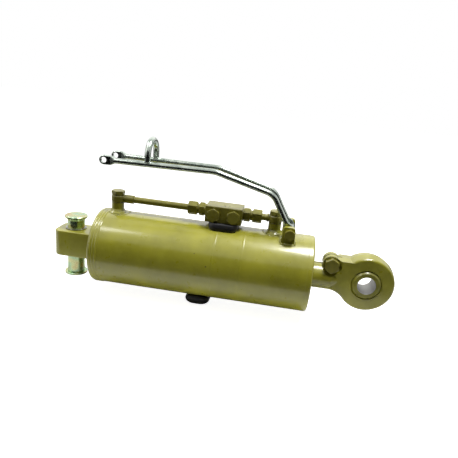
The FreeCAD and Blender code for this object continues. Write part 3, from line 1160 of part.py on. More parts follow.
ball = doc.addObject("Part::Sphere", "ball_sphere")
ball.setExpression("Radius", sheet("ball_radius"))
place(ball, (EYE_X, "0", "0"))
ball_slab = bar("ball_slab", "ball_radius + 1", "2 * ball_half_width", "Y", (EYE_X, "-ball_half_width", "0"))
ball_bore = bar("ball_bore", "ball_bore_radius", "2 * ball_half_width + 4", "Y",
                (EYE_X, "-ball_half_width - 2", "0"))
keep(cut("ball_bored", common("ball_faced", ball, ball_slab), ball_bore), "eye_ball")

# ---------------------------------------------------------------- checks and files
doc.recompute()
for item in doc.Objects:
    if "Invalid" in item.State or "Error" in item.State:
        raise RuntimeError(f"{item.Label} failed: {item.State}")
for item in kept:
    shape = item.Shape
    if shape.isNull() or not shape.isValid() or shape.Volume <= 0:
        raise RuntimeError(f"{item.Label} is not a valid solid")
for item in kept:
    item.Shape.exportStep(f"parts/{item.Label}.step")
    print(f"{item.Label:22s} {len(item.Shape.Solids)} solid(s) {item.Shape.Volume / 1000:9.2f} cm3")
print(len(kept), "nodes")
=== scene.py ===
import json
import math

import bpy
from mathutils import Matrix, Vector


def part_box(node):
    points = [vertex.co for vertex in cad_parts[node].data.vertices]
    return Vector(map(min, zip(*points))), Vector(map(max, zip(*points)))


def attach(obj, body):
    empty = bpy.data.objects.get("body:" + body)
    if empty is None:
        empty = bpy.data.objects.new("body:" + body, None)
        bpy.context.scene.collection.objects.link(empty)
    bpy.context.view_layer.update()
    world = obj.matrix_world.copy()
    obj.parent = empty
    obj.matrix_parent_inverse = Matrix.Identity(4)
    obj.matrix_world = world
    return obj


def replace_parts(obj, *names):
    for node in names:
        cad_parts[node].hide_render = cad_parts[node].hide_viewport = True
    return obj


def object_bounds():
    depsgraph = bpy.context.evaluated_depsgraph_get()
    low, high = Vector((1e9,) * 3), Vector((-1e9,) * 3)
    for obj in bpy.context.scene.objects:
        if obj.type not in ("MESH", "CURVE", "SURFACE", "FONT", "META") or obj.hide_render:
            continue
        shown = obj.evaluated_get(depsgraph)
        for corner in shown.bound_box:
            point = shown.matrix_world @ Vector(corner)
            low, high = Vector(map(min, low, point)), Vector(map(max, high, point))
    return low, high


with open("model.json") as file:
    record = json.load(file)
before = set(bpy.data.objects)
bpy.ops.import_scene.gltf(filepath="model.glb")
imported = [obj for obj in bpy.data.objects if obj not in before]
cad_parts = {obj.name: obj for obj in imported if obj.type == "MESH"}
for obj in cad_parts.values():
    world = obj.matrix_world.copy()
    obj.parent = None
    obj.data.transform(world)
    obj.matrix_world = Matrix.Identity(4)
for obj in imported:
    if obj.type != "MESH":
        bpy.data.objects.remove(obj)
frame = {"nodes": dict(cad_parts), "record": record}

# %% [markdown]
# A hydraulic top link, dressed. The solids of this link are loaded above as a fixed frame, so this
# lesson only adds what a solid model leaves out: weld metal, threads and finishes. Every length
# below is in metres, because Blender works in metres, and `MM` turns workshop millimetres into
# them. The size of the solids is measured first, because the dressed link must stay inside it.

MM = 0.001
plain_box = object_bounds()
low, high = (Vector(corner) for corner in plain_box)
print("the link measures", [round(side / MM, 1) for side in high - low], "mm")

# %% [markdown]
# Two small helpers serve the whole lesson. `linear` turns a hex colour, as read off a paint card,
# into the linear light values that a renderer adds up. `add` puts one node in a tree, sets its
# settings and its sockets, and links whatever socket it is handed. Everything else is plain bpy.

# %% Colour and node helpers


def linear(hex_colour):
    """An sRGB colour such as '#A3A132' as linear red, green, blue and a full alpha."""
    channels = [int(hex_colour[start:start + 2], 16) / 255 for start in (1, 3, 5)]
    light = [value / 12.92 if value <= 0.04045 else ((value + 0.055) / 1.055) ** 2.4
             for value in channels]
    return (*light, 1.0)


def add(tree, kind, inputs=None, **settings):
    """One node in a tree: settings are its own properties, inputs its sockets by name or number."""
    made = tree.nodes.new(kind)
    for name, value in settings.items():
        setattr(made, name, value)
    for key, value in (inputs or {}).items():
        if isinstance(value, bpy.types.NodeSocket):
            tree.links.new(value, made.inputs[key])
        else:
            made.inputs[key].default_value = value
    return made


print("olive enamel in linear light:", [round(value, 3) for value in linear("#A3A132")])

# %% [markdown]
# A finish is easiest to judge when all of them start alike. `finish` opens a material with a
# Principled shader and hands back the tree, the shader and the Object coordinates, which are the
# link's own metres, so that a pattern has a real size and never slides when a piece moves.
# `grain` is a Noise texture whose size is given in millimetres.

# %% The start of every finish


def finish(name):
    """A new material with its tree, its Principled shader and its Object coordinates."""
    material = bpy.data.materials.new(name)
    material.use_nodes = True
    tree = material.node_tree
    place = add(tree, "ShaderNodeTexCoord").outputs["Object"]
    return material, tree, tree.nodes["Principled BSDF"], place


def grain(tree, place, size, detail=3.0, stretch=(1, 1, 1)):
    """Noise whose lumps are about `size` millimetres across, drawn out by `stretch`."""
    mapped = add(tree, "ShaderNodeMapping", {"Vector": place, "Scale": stretch})
    return add(tree, "ShaderNodeTexNoise", {"Vector": mapped.outputs["Vector"],
                                            "Scale": 1 / (size * MM), "Detail": detail}).outputs["Fac"]


def spread(tree, value, lowest, highest, start=0.3, end=0.7):
    """A noise value stretched from its useful middle part to the range that a socket needs."""
    return add(tree, "ShaderNodeMapRange", {"Value": value, "From Min": start, "From Max": end,
                                            "To Min": lowest, "To Max": highest}).outputs["Result"]


def blend_colour(tree, share, first, second):
    """First colour where share is 0, second where it is 1; each is a hex word or a socket."""
    mix = add(tree, "ShaderNodeMix", {"Factor": share}, data_type="RGBA")
    for number, colour in ((6, first), (7, second)):
        if isinstance(colour, str):
            mix.inputs[number].default_value = linear(colour)
        else:
            tree.links.new(colour, mix.inputs[number])
    return mix.outputs[2]


def relief(tree, height, depth, normal=None):
    """A bump of `depth` millimetres where height is 1, laid over an earlier normal if there is one."""
    sockets = {"Height": height, "Distance": depth * MM, "Strength": 1.0}
    if normal is not None:
        sockets["Normal"] = normal
    return add(tree, "ShaderNodeBump", sockets).outputs["Normal"]


def broken_edge(tree, radius):
    """A normal that rounds sharp edges by `radius` millimetres, as paint or a file does."""
    return add(tree, "ShaderNodeBevel", {"Radius": radius * MM}, samples=4).outputs["Normal"]


print("helpers ready")

# %% [markdown]
# The olive coat is alkyd enamel, sprayed wet over welded steel. Three things tell the eye so:
# a gloss with soft orange peel of about 2 mm, a colour that drifts a little where the coat is
# thicker or dusty, and edges that the paint rounds off. The tube has two things more: two low
# ridges round it where it was masked, and two small chips down to the primer. Both stand at their
# real places, in millimetres along the tube, and for a chip across and above its axis as well.

# %% Measures of the enamel, in millimetres
MASKED_LINES = (277, 327)
RIDGE_HALF_WIDTH, RIDGE_HEIGHT = 2.6, 0.35
CHIPS = ((245, -63, 31, 1.2), (268, -69, 12, 1.5))
CHIP_DEPTH = 0.08
THICKER_PATCH = 45
DUSTY_PATCH = 9
GLOSS_PATCH = 14
WORN_SPECK, WORN_PATCH = 0.7, 12
ORANGE_PEEL, PEEL_DEPTH = 2.2, 0.05
PAINTED_EDGE = 0.7
DUSTY_OLIVE, PRIMER = "#B4AF4A", "#5C5628"
print("ridges stand at", MASKED_LINES, "mm and there are", len(CHIPS), "chips")

# %% Sprayed olive enamel


def near(tree, value, middle, half_width):
    """1 at `middle`, falling to 0 at `half_width` away, all in millimetres along one axis."""
    apart = add(tree, "ShaderNodeMath", {0: value, 1: middle * MM}, operation="SUBTRACT")
    apart = add(tree, "ShaderNodeMath", {0: apart.outputs[0]}, operation="ABSOLUTE")
    return add(tree, "ShaderNodeMapRange", {"Value": apart.outputs[0], "From Min": 0.0,
                                            "From Max": half_width * MM, "To Min": 1.0, "To Max": 0.0},
               interpolation_type="SMOOTHSTEP").outputs["Result"]


def sprayed_olive_enamel(name, shade="#ADA931", thin="#96932B", coat=0.7, masked_lines=(), chips=()):
    """Enamel from shade to thin, under a clear gloss of weight `coat`, with its ridges and chips."""
    material, tree, shader, place = finish(name)
    drift = spread(tree, grain(tree, place, THICKER_PATCH, 2.0), 0.0, 1.0)
    colour = blend_colour(tree, drift, shade, thin)
    dust = spread(tree, grain(tree, place, DUSTY_PATCH, 4.0), 0.0, 0.22, 0.45, 0.75)
    colour = blend_colour(tree, dust, colour, DUSTY_OLIVE)
    specks = spread(tree, grain(tree, place, WORN_SPECK, 2.0), 0.0, 1.0, 0.72, 0.76)
    patches = spread(tree, grain(tree, place, WORN_PATCH, 2.0), 0.0, 1.0, 0.55, 0.65)
    worn = add(tree, "ShaderNodeMath", {0: specks, 1: patches}, operation="MULTIPLY").outputs[0]
    for x, y, z, size in chips:
        apart = add(tree, "ShaderNodeVectorMath", {0: place, 1: (x * MM, y * MM, z * MM)},
                    operation="DISTANCE").outputs["Value"]
        ragged = add(tree, "ShaderNodeMath", {0: grain(tree, place, 1.2, 3.0), 1: size * MM, 2: apart},
                     operation="MULTIPLY_ADD").outputs[0]
        chip = spread(tree, ragged, 1.0, 0.0, size * 1.25 * MM, size * 1.45 * MM)
        worn = add(tree, "ShaderNodeMath", {0: worn, 1: chip}, operation="MAXIMUM").outputs[0]
    colour = blend_colour(tree, worn, colour, PRIMER)
    tree.links.new(colour, shader.inputs["Base Color"])
    rough = spread(tree, grain(tree, place, GLOSS_PATCH, 4.0), 0.26, 0.4)
    tree.links.new(rough, shader.inputs["Roughness"])
    shader.inputs["IOR"].default_value = 1.5
    shader.inputs["Coat Weight"].default_value = coat
    shader.inputs["Coat Roughness"].default_value = 0.16
    peel = grain(tree, place, ORANGE_PEEL, 1.0)
    normal = relief(tree, peel, PEEL_DEPTH, broken_edge(tree, PAINTED_EDGE))
    for x in masked_lines:
        along = add(tree, "ShaderNodeSeparateXYZ", {0: place}).outputs["X"]
        normal = relief(tree, near(tree, along, x, RIDGE_HALF_WIDTH), RIDGE_HEIGHT, normal)
    normal = relief(tree, spread(tree, worn, 1.0, 0.0, 0.0, 1.0), CHIP_DEPTH, normal)
    tree.links.new(normal, shader.inputs["Normal"])
    return material


olive = sprayed_olive_enamel("sprayed_olive_enamel")
olive_tube = sprayed_olive_enamel("sprayed_olive_enamel_tube", masked_lines=MASKED_LINES, chips=CHIPS)
# The fittings' coat is duller, which is real, and its olive is darker as painted shade, for the shade that
# falls on their front faces.
olive_fittings_painted_shade = sprayed_olive_enamel("sprayed_olive_enamel_fittings_painted_shade", "#8A8530", "#746F27", 0.25)
olive_forging = sprayed_olive_enamel("sprayed_olive_enamel_forging", "#A5A131", "#8D8A2B", 0.5)
print("enamels:", [material.name for material in (olive, olive_tube, olive_fittings_painted_shade, olive_forging)])

# %% [markdown]
# The handle is drawn round bar, bright zinc plated. Zinc is a metal, so it takes its whole look
# from what it mirrors; the die leaves fine lines along the bar, and the bath leaves a cool, slightly
# cloudy skin. The knuckle pin is zinc too, but passivated yellow: the chromate film is thin enough
# to shift from straw to green and brown as its thickness changes, over patches of about 24 mm.

# %% Plated metals
ZINC_CLOUD = 11
DRAWN_LINES, DRAWN_DEPTH = 0.8, 0.012
FILM_PATCH = 24
TURNED_RINGS, RING_DEPTH = 0.9, 0.015
FILM_TINTS = ("#CFC48C", "#C2CB9C", "#A9C6A2", "#C4C998", "#C6B584", "#A88C66")


def bright_zinc_plate(name, along=(0.05, 1, 1), shade="#BFC7BC", cloud="#939E95"):
    material, tree, shader, place = finish(name)
    clouds = spread(tree, grain(tree, place, ZINC_CLOUD, 3.0), 0.0, 1.0)
    tree.links.new(blend_colour(tree, clouds, shade, cloud), shader.inputs["Base Color"])
    shader.inputs["Metallic"].default_value = 1.0
    lines = grain(tree, place, DRAWN_LINES, 2.0, along)
    tree.links.new(spread(tree, lines, 0.16, 0.3), shader.inputs["Roughness"])
    normal = relief(tree, lines, DRAWN_DEPTH, broken_edge(tree, 0.5))
    tree.links.new(normal, shader.inputs["Normal"])
    return material


def yellow_chromated_zinc(name):
    material, tree, shader, place = finish(name)
    film = spread(tree, grain(tree, place, FILM_PATCH, 1.0), 0.0, 1.0, 0.25, 0.75)
    ramp = add(tree, "ShaderNodeValToRGB", {"Fac": film})
    stops = ramp.color_ramp.elements
    stops[0].color = linear(FILM_TINTS[0])
    stops[-1].color = linear(FILM_TINTS[-1])
    for number, tint in enumerate(FILM_TINTS[1:-1], 1):
        stops.new(number / (len(FILM_TINTS) - 1)).color = linear(tint)
    tree.links.new(ramp.outputs["Color"], shader.inputs["Base Color"])
    shader.inputs["Metallic"].default_value = 1.0
    turned = grain(tree, place, TURNED_RINGS, 2.0, (1, 1, 6))
    tree.links.new(spread(tree, turned, 0.2, 0.34), shader.inputs["Roughness"])
    normal = relief(tree, turned, RING_DEPTH, broken_edge(tree, 0.6))
    tree.links.new(normal, shader.inputs["Normal"])
    return material


zinc_bar = bright_zinc_plate("bright_zinc_plated_bar")
zinc_parts = bright_zinc_plate("bright_zinc_plated_parts", (1, 1, 1), "#BFC7BC", "#8F9A91")
chromated = yellow_chromated_zinc("yellow_chromated_zinc_plate")
print("plated:", [material.name for material in (zinc_bar, zinc_parts, chromated)])

# %% [markdown]
# What the coat doesn't reach is bare. Turned and ground steel keep fine tool marks, hard chrome
# shows almost nothing but the room, and leaded bronze is warmer and duller. All of them are one
# recipe with other numbers: a colour, a roughness, and tool marks that may be stretched along the
# way the tool went. The marks are drawn at about 0.6 mm, coarser than real, so that they show.

# %% Bare metals
SOILED_PATCH = 7


def machined_metal(name, shade, soiled, rough, marks=0.6, stretch=(1, 1, 1), depth=0.01):
    material, tree, shader, place = finish(name)
    soil = spread(tree, grain(tree, place, SOILED_PATCH, 4.0), 0.0, 1.0, 0.4, 0.75)
    tree.links.new(blend_colour(tree, soil, shade, soiled), shader.inputs["Base Color"])
    shader.inputs["Metallic"].default_value = 1.0
    lines = grain(tree, place, marks, 2.0, stretch)
    tree.links.new(spread(tree, lines, rough * 0.8, rough * 1.3), shader.inputs["Roughness"])
    normal = relief(tree, lines, depth, broken_edge(tree, 0.3))
    tree.links.new(normal, shader.inputs["Normal"])
    return material


turned_steel = machined_metal("bare_turned_steel", "#A9A8A4", "#7D7A72", 0.34)
ground_steel = machined_metal("ground_bearing_steel", "#B4B4B2", "#86857F", 0.3, 0.7, (1, 0.15, 1))
hard_chrome = machined_metal("polished_hard_chrome", "#D6D8DA", "#C6C8CA", 0.07, 0.5, (6, 1, 1), 0.002)
spring_wire = machined_metal("drawn_spring_wire", "#8E8C88", "#6B6861", 0.3, 0.4)
bearing_bronze = machined_metal("leaded_bearing_bronze", "#B08A4A", "#80622F", 0.36)

# %% [markdown]
# The ball was painted with the eye, and its bore was masked or has been rubbed bare by the pin.
# One finish shows both: everything nearer to the ball's axis than the bore's edge is bare.

# %% Painted ball with a bare bore
ball_low, ball_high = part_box("eye_ball")
BALL_AXIS = (ball_low + ball_high) / 2
BORE_EDGE = 16.4
BORE_FADE = (BORE_EDGE - 0.2, BORE_EDGE + 0.3)


def painted_ball(name):
    """Thin enamel on the ball's outside, ground steel inside its bore."""
    material = sprayed_olive_enamel(name, "#8F8C30", "#75732A")
    tree = material.node_tree
    shader = tree.nodes["Principled BSDF"]
    place = add(tree, "ShaderNodeTexCoord").outputs["Object"]
    flat = add(tree, "ShaderNodeVectorMath", {0: place, 1: (1, 0, 1)}, operation="MULTIPLY")
    off = add(tree, "ShaderNodeVectorMath", {0: flat.outputs[0], 1: (BALL_AXIS.x, 0, BALL_AXIS.z)},
              operation="DISTANCE").outputs["Value"]
    bare = spread(tree, off, 1.0, 0.0, BORE_FADE[0] * MM, BORE_FADE[1] * MM)
    painted = shader.inputs["Base Color"].links[0].from_socket
    tree.links.new(blend_colour(tree, bare, painted, "#A5A4A0"), shader.inputs["Base Color"])
    tree.links.new(bare, shader.inputs["Metallic"])
    rough = add(tree, "ShaderNodeMath", {0: 0.3, 1: bare, 2: 0.3}, operation="MULTIPLY_ADD")
    tree.links.new(rough.outputs[0], shader.inputs["Roughness"])
    shader.inputs["Coat Weight"].default_value = 0.2
    return material


ball_finish = painted_ball("sprayed_ball_with_bare_bore")
print("bare:", [material.name for material in (turned_steel, ground_steel, hard_chrome, bearing_bronze)])

# %% [markdown]
# The pads are moulded rubber, black because it is filled with carbon. It is never glossy: fine
# mould texture of about a millimetre breaks up the light, and a grey bloom comes out in patches.
# Seals are the same family, smoother, and guide rings are cloth-filled resin, dark green-brown.

# %% Rubber, seals and resin
BLOOM_PATCH, SHEEN_PATCH = 12, 5


def moulded_polymer(name, shade, bloom, rough, texture, depth):
    material, tree, shader, place = finish(name)
    patches = spread(tree, grain(tree, place, BLOOM_PATCH, 4.0), 0.0, 0.6, 0.45, 0.75)
    tree.links.new(blend_colour(tree, patches, shade, bloom), shader.inputs["Base Color"])
    sheen = spread(tree, grain(tree, place, SHEEN_PATCH, 3.0), rough - 0.08, rough + 0.1)
    tree.links.new(sheen, shader.inputs["Roughness"])
    shader.inputs["IOR"].default_value = 1.52
    normal = relief(tree, grain(tree, place, texture, 2.0), depth, broken_edge(tree, 0.6))
    tree.links.new(normal, shader.inputs["Normal"])
    return material


black_rubber = moulded_polymer("moulded_black_rubber", "#101012", "#1F1F21", 0.5, 0.9, 0.05)
seal_rubber = moulded_polymer("moulded_nitrile_seal", "#17181A", "#232528", 0.35, 1.5, 0.01)
guide_resin = moulded_polymer("cloth_filled_guide_resin", "#3B4030", "#2C2F24", 0.5, 0.5, 0.03)
print("polymers:", [material.name for material in (black_rubber, seal_rubber, guide_resin)])

# %% [markdown]
# A solid takes its finish through its material slot, and its mesh is left as it is. The record
# names a slot for each node, and each slot has one finish, apart from the nodes whose finish
# differs from the rest of their slot: those stand in a list of their own. The fittings among them
# take a duller olive that is also darker as painted shade, for the shade on their front faces.

# %% Every solid gets its finish
FINISHES = {"olive_paint": olive, "yellow_chromate": chromated, "bright_zinc": zinc_parts,
            "bare_steel": turned_steel, "ball_steel": ground_steel, "chromed_rod": hard_chrome,
            "bronze": bearing_bronze, "black_rubber": black_rubber, "seal_rubber": seal_rubber,
            "guide_plastic": guide_resin}
SPECIAL = {"barrel_tube": olive_tube, "handle_bar_front": zinc_bar, "handle_bar_back": zinc_bar,
           "rod_eye": olive_forging, "eye_ball": ball_finish, "rear_poppet_spring": spring_wire,
           "front_poppet_spring": spring_wire}
FITTINGS = ("banjo_bolts", "sealing_washers", "rear_banjo", "front_banjo", "male_connectors",
            "pipe_nuts", "rear_pipe", "front_pipe", "valve_block", "port_plugs", "clamp_bolt",
            "clamp_washer", "handle_pivot_bolt")
# The fittings take the duller olive that is darkened as painted shade.
SPECIAL.update({node: olive_fittings_painted_shade for node in FITTINGS})
for subpart in frame["record"]["subparts"]:
    solid = frame["nodes"][subpart["node"]]
    solid.data.materials.clear()
    solid.data.materials.append(SPECIAL.get(subpart["node"], FINISHES[subpart["material_slot"]]))
print(len(frame["nodes"]), "solids have a finish")

# %% [markdown]
# A fillet weld is a row of frozen puddles. Each one laps more than half of the last, so the bead
# is scaled like a fish. That is a thing that repeats along a path, which is what Geometry Nodes
# are good at: the tree below takes a curve, sets points along it, puts a flattened round puddle
# on each, turned along the curve, and changes their sizes a little with a fixed seed. The lower
# half of every puddle is buried in the parts that it joins.

# %% Tree: a weld bead along a curve
SMALLEST, LARGEST, FLATTENED = 0.88, 1.1, 0.62


def open_tree(name, sizes):
    """A Geometry Nodes tree with a Geometry input and output and one named input for each size."""
    tree = bpy.data.node_groups.new(name, "GeometryNodeTree")
    tree.interface.new_socket("Geometry", in_out="INPUT", socket_type="NodeSocketGeometry")
    for label, kind in sizes:
        tree.interface.new_socket(label, in_out="INPUT", socket_type=kind)
    tree.interface.new_socket("Geometry", in_out="OUTPUT", socket_type="NodeSocketGeometry")
    return tree, add(tree, "NodeGroupInput").outputs


def close_tree(tree, geometry, given):
    """Every tree ends alike: real geometry, with its material set."""
    real = add(tree, "GeometryNodeRealizeInstances", {"Geometry": geometry}).outputs["Geometry"]
    dressed = add(tree, "GeometryNodeSetMaterial", {"Geometry": real, "Material": given["Material"]})
    add(tree, "NodeGroupOutput", {"Geometry": dressed.outputs["Geometry"]})
    return tree


def weld_bead_tree():
    """Overlapping puddles along a curve."""
    tree, given = open_tree("weld_bead", (("Spacing", "NodeSocketFloat"), ("Width", "NodeSocketFloat"),
                                          ("Seed", "NodeSocketInt"), ("Material", "NodeSocketMaterial")))
    points = add(tree, "GeometryNodeCurveToPoints", {"Curve": given["Geometry"],
                                                     "Length": given["Spacing"]}, mode="LENGTH")
    radius = add(tree, "ShaderNodeMath", {0: given["Width"], 1: 0.5}, operation="MULTIPLY").outputs[0]
    puddle = add(tree, "GeometryNodeMeshUVSphere", {"Segments": 14, "Rings": 8, "Radius": radius})
    smooth = add(tree, "GeometryNodeSetShadeSmooth", {"Geometry": puddle.outputs["Mesh"]})
    size = add(tree, "FunctionNodeRandomValue", {2: SMALLEST, 3: LARGEST, "Seed": given["Seed"]}).outputs[1]
    scale = add(tree, "ShaderNodeCombineXYZ", {0: size, 1: size, 2: FLATTENED})
    row = add(tree, "GeometryNodeInstanceOnPoints", {
        "Points": points.outputs["Points"], "Instance": smooth.outputs["Geometry"],
        "Rotation": points.outputs["Rotation"], "Scale": scale.outputs["Vector"]})
    return close_tree(tree, row.outputs["Instances"], given)


WELD_BEAD = weld_bead_tree()
print("weld bead tree:", len(WELD_BEAD.nodes), "nodes")

# %% [markdown]
# A tree works on a curve, so a path becomes a curve first. `dress_path` makes that curve, hands
# the sizes to the modifier by each socket's identifier, and turns what comes out into a plain
# mesh that rides on a body. The curve and its modifier are thrown away again.

# %% From a path to a plain mesh


def dress_path(name, paths, tree, sizes, body):
    """Runs a tree along one or more closed or open paths and keeps the result as one mesh."""
    curve = bpy.data.curves.new(name + "_path", "CURVE")
    curve.dimensions = "3D"
    for points, closed in paths:
        line = curve.splines.new("POLY")
        line.points.add(len(points) - 1)
        for point, place in zip(line.points, points):
            point.co = (*place, 1)
        line.use_cyclic_u = closed
    carrier = bpy.data.objects.new(name + "_path", curve)
    bpy.context.scene.collection.objects.link(carrier)
    modifier = carrier.modifiers.new("tree", "NODES")
    modifier.node_group = tree
    for socket in tree.interface.items_tree:
        if socket.in_out == "INPUT" and socket.name in sizes:
            modifier[socket.identifier] = sizes[socket.name]
    ready = carrier.evaluated_get(bpy.context.evaluated_depsgraph_get())
    mesh = bpy.data.meshes.new_from_object(ready)
    mesh.name = name
    bpy.data.objects.remove(carrier)
    return keep_piece(name, mesh, body)


def keep_piece(name, mesh, body):
    """Puts a finished mesh in the scene, at the origin, riding on its body, and tells its size."""
    piece = bpy.data.objects.new(name, mesh)
    bpy.context.scene.collection.objects.link(piece)
    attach(piece, body)
    print(name, "has", len(mesh.polygons), "faces")
    return piece


# %% [markdown]
# The tube is a cylinder about X, so a path drawn flat, as seen from above, is lifted onto it by
# one square root. The two handle lugs stand in rectangular beads, the two port bosses in round
# ones, and the knuckle block in a squarer one on the rear cap.

# %% Beads on the tube and the rear cap
TUBE_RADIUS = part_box("barrel_tube")[1].z
BEAD = {"Spacing": 1.9 * MM, "Width": 4.6 * MM, "Seed": 3, "Material": olive}
THIN_BEAD = {**BEAD, "Spacing": 1.5 * MM, "Width": 3.4 * MM}
LUG_GAP, LUG_CORNER = 0.6 * MM, 3 * MM
BOSS_GAP, BOSS_SINK = 0.2 * MM, 0.9
BLOCK_INSET, BLOCK_CORNER, BLOCK_BACK = 2 * MM, 5 * MM, 1.6 * MM


def on_tube(x, y, sink=0.3):
    """The point of the tube's skin above (x, y), sunk a little so that the bead grows out of it."""
    return (x, y, math.sqrt((TUBE_RADIUS - sink * MM) ** 2 - y * y))


def rounded_rectangle(half_long, half_wide, corner, steps=6):
    """Corner arcs of a rectangle about (0, 0), joined by its straight sides."""
    points = []
    for quarter, (side_x, side_y) in enumerate(((1, 1), (-1, 1), (-1, -1), (1, -1))):
        for step in range(steps + 1):
            turn = math.pi / 2 * (quarter + step / steps)
            points.append((side_x * (half_long - corner) + corner * math.cos(turn),
                           side_y * (half_wide - corner) + corner * math.sin(turn)))
    return points


def along_sides(points, longest):
    """Adds points along the straight sides, so that a lifted path follows the tube's curve."""
    finer = []
    for here, there in zip(points, points[1:] + points[:1]):
        parts = max(1, math.ceil(math.dist(here, there) / longest))
        finer += [tuple(a + (b - a) * part / parts for a, b in zip(here, there)) for part in range(parts)]
    return finer


def ring_of_points(steps):
    """Cosine and sine of evenly spaced turns: a circle of radius 1."""
    turns = [step * math.tau / steps for step in range(steps)]
    return [(math.cos(turn), math.sin(turn)) for turn in turns]


lug_beads = []
for side in ("front", "back"):
    lug_low, lug_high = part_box(f"handle_lug_{side}")
    lug_middle = (lug_low + lug_high) / 2
    lug_half = (lug_high - lug_low) / 2
    outline = rounded_rectangle(lug_half.x + LUG_GAP, lug_half.y + LUG_GAP, LUG_CORNER)
    outline = along_sides(outline, 2 * MM)
    lug_beads.append(([on_tube(lug_middle.x + x, lug_middle.y + y) for x, y in outline], True))
dress_path("handle_lug_welds", lug_beads, WELD_BEAD, BEAD, "barrel")

boss_beads = []
for side in ("rear", "front"):
    boss_low, boss_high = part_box(f"{side}_port_boss")
    reach = (boss_high.y - boss_low.y) / 2 + BOSS_GAP
    boss_x = boss_high.x - reach if side == "front" else boss_low.x + reach
    circle = [(boss_x + reach * x, reach * y) for x, y in ring_of_points(72)]
    boss_beads.append(([on_tube(x, y, BOSS_SINK) for x, y in circle], True))
dress_path("port_boss_welds", boss_beads, WELD_BEAD, THIN_BEAD, "barrel")

block_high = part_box("knuckle_block")[1]
outline = rounded_rectangle(block_high.y - BLOCK_INSET, block_high.z - BLOCK_INSET, BLOCK_CORNER)
block_seam = [(block_high.x - BLOCK_BACK, y, z) for y, z in along_sides(outline, 4 * MM)]
dress_path("knuckle_block_weld", [(block_seam, True)], WELD_BEAD, BEAD, "barrel")

# %% [markdown]
# The rope loop stands on the two handle bars, and each foot is welded all round. The bars are
# zinc plated after welding, so the beads shine like the bars do.

# %% Beads at the rope loop's feet
FOOT_BEAD = {"Spacing": 1.4 * MM, "Width": 3 * MM, "Seed": 5, "Material": zinc_parts}
FOOT_LIFT, FOOT_NARROWED = 0.4 * MM, 0.8
loop_low, loop_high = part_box("rope_loop")
loop_radius = (loop_high.x - loop_low.x) / 2
loop_x = (loop_low.x + loop_high.x) / 2
feet = []
for side in (-1, 1):
    foot_y = side * (loop_high.y - loop_radius)
    feet.append(([(loop_x + loop_radius * x, foot_y + loop_radius * FOOT_NARROWED * y,
                   loop_low.z + FOOT_LIFT) for x, y in ring_of_points(24)], True))
dress_path("rope_loop_welds", feet, WELD_BEAD, FOOT_BEAD, "handle")

# %% [markdown]
# Each connector shows 4 mm of M18 thread between its hexagon and the pipe nut. A thread is a
# helix, but a second tree turns a straight path into rings at a pitch of 1.3 mm. Rings read as a
# thread at this size and cost far fewer faces than a swept helix.

# %% Tree: thread crests along an axis
CREST_SHARE = 0.36


def thread_tree():
    """Rings at a pitch along a straight path, each one a crest."""
    tree, given = open_tree("thread_crests", (("Pitch", "NodeSocketFloat"), ("Radius", "NodeSocketFloat"),
                                              ("Material", "NodeSocketMaterial")))
    points = add(tree, "GeometryNodeCurveToPoints", {"Curve": given["Geometry"],
                                                     "Length": given["Pitch"]}, mode="LENGTH")
    crest = add(tree, "GeometryNodeCurvePrimitiveCircle", {"Resolution": 40, "Radius": given["Radius"]})
    thick = add(tree, "ShaderNodeMath", {0: given["Pitch"], 1: CREST_SHARE}, operation="MULTIPLY")
    section = add(tree, "GeometryNodeCurvePrimitiveCircle", {"Resolution": 6, "Radius": thick.outputs[0]})
    ring = add(tree, "GeometryNodeCurveToMesh", {"Curve": crest.outputs["Curve"],
                                                 "Profile Curve": section.outputs["Curve"]})
    row = add(tree, "GeometryNodeInstanceOnPoints", {
        "Points": points.outputs["Points"], "Instance": ring.outputs["Mesh"],
        "Rotation": points.outputs["Rotation"]})
    return close_tree(tree, row.outputs["Instances"], given)


THREAD = thread_tree()
# The threads take the same duller olive, darkened as painted shade.
CONNECTOR_THREAD = {"Pitch": 1.3 * MM, "Radius": 8.8 * MM, "Material": olive_fittings_painted_shade}
NECK = (13.5 * MM, 17.5 * MM)
NECK_MARGIN = 0.7 * MM
valve_low, valve_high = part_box("valve_block")
pipe_height = sum(corner.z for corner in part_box("rear_pipe")) / 2
necks = []
for face, way in ((valve_low.x, -1), (valve_high.x, 1)):
    ends = (face + way * (NECK[0] + NECK_MARGIN), face + way * (NECK[1] - NECK_MARGIN))
    necks.append(([(x, 0, pipe_height) for x in ends], False))
dress_path("connector_threads", necks, THREAD, CONNECTOR_THREAD, "barrel")

# %% [markdown]
# The gland closes the tube's front end. Paint bridges the joint but can't hide it: a hairline lip
# runs all round, and it is one crest of the same tree, as wide as the tube.

# %% The gland's seam
SEAM = {"Pitch": 0.9 * MM, "Radius": TUBE_RADIUS, "Material": olive}
SEAM_LENGTH = 0.4 * MM
seam_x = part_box("barrel_tube")[1].x
seam_path = [(seam_x, 0, 0), (seam_x + SEAM_LENGTH, 0, 0)]
dress_path("gland_seam", [(seam_path, False)], THREAD, SEAM, "barrel")

# %% [markdown]
# The rubber pad between valve and tube is one moulding: flat on top, hollowed underneath to the
# tube's radius, with round corners and sides that bulge under the clamping load. A rule describes
# it, so it is made by one: rounded rectangles are stacked from the tube up to the valve, a little
# wider at mid height than at the ends, and they follow the tube less the further they are from it.
# The buffer under the barrel is made in the same way, upside down, with a round edge.

# %% A rubber moulding
PAD_CLEARANCE = 0.15 * MM


def skin_height(y, way):
    """Height of the tube's skin above (way 1) or below (way -1) its axis, with a little clearance."""
    return way * math.sqrt((TUBE_RADIUS + PAD_CLEARANCE) ** 2 - y * y)


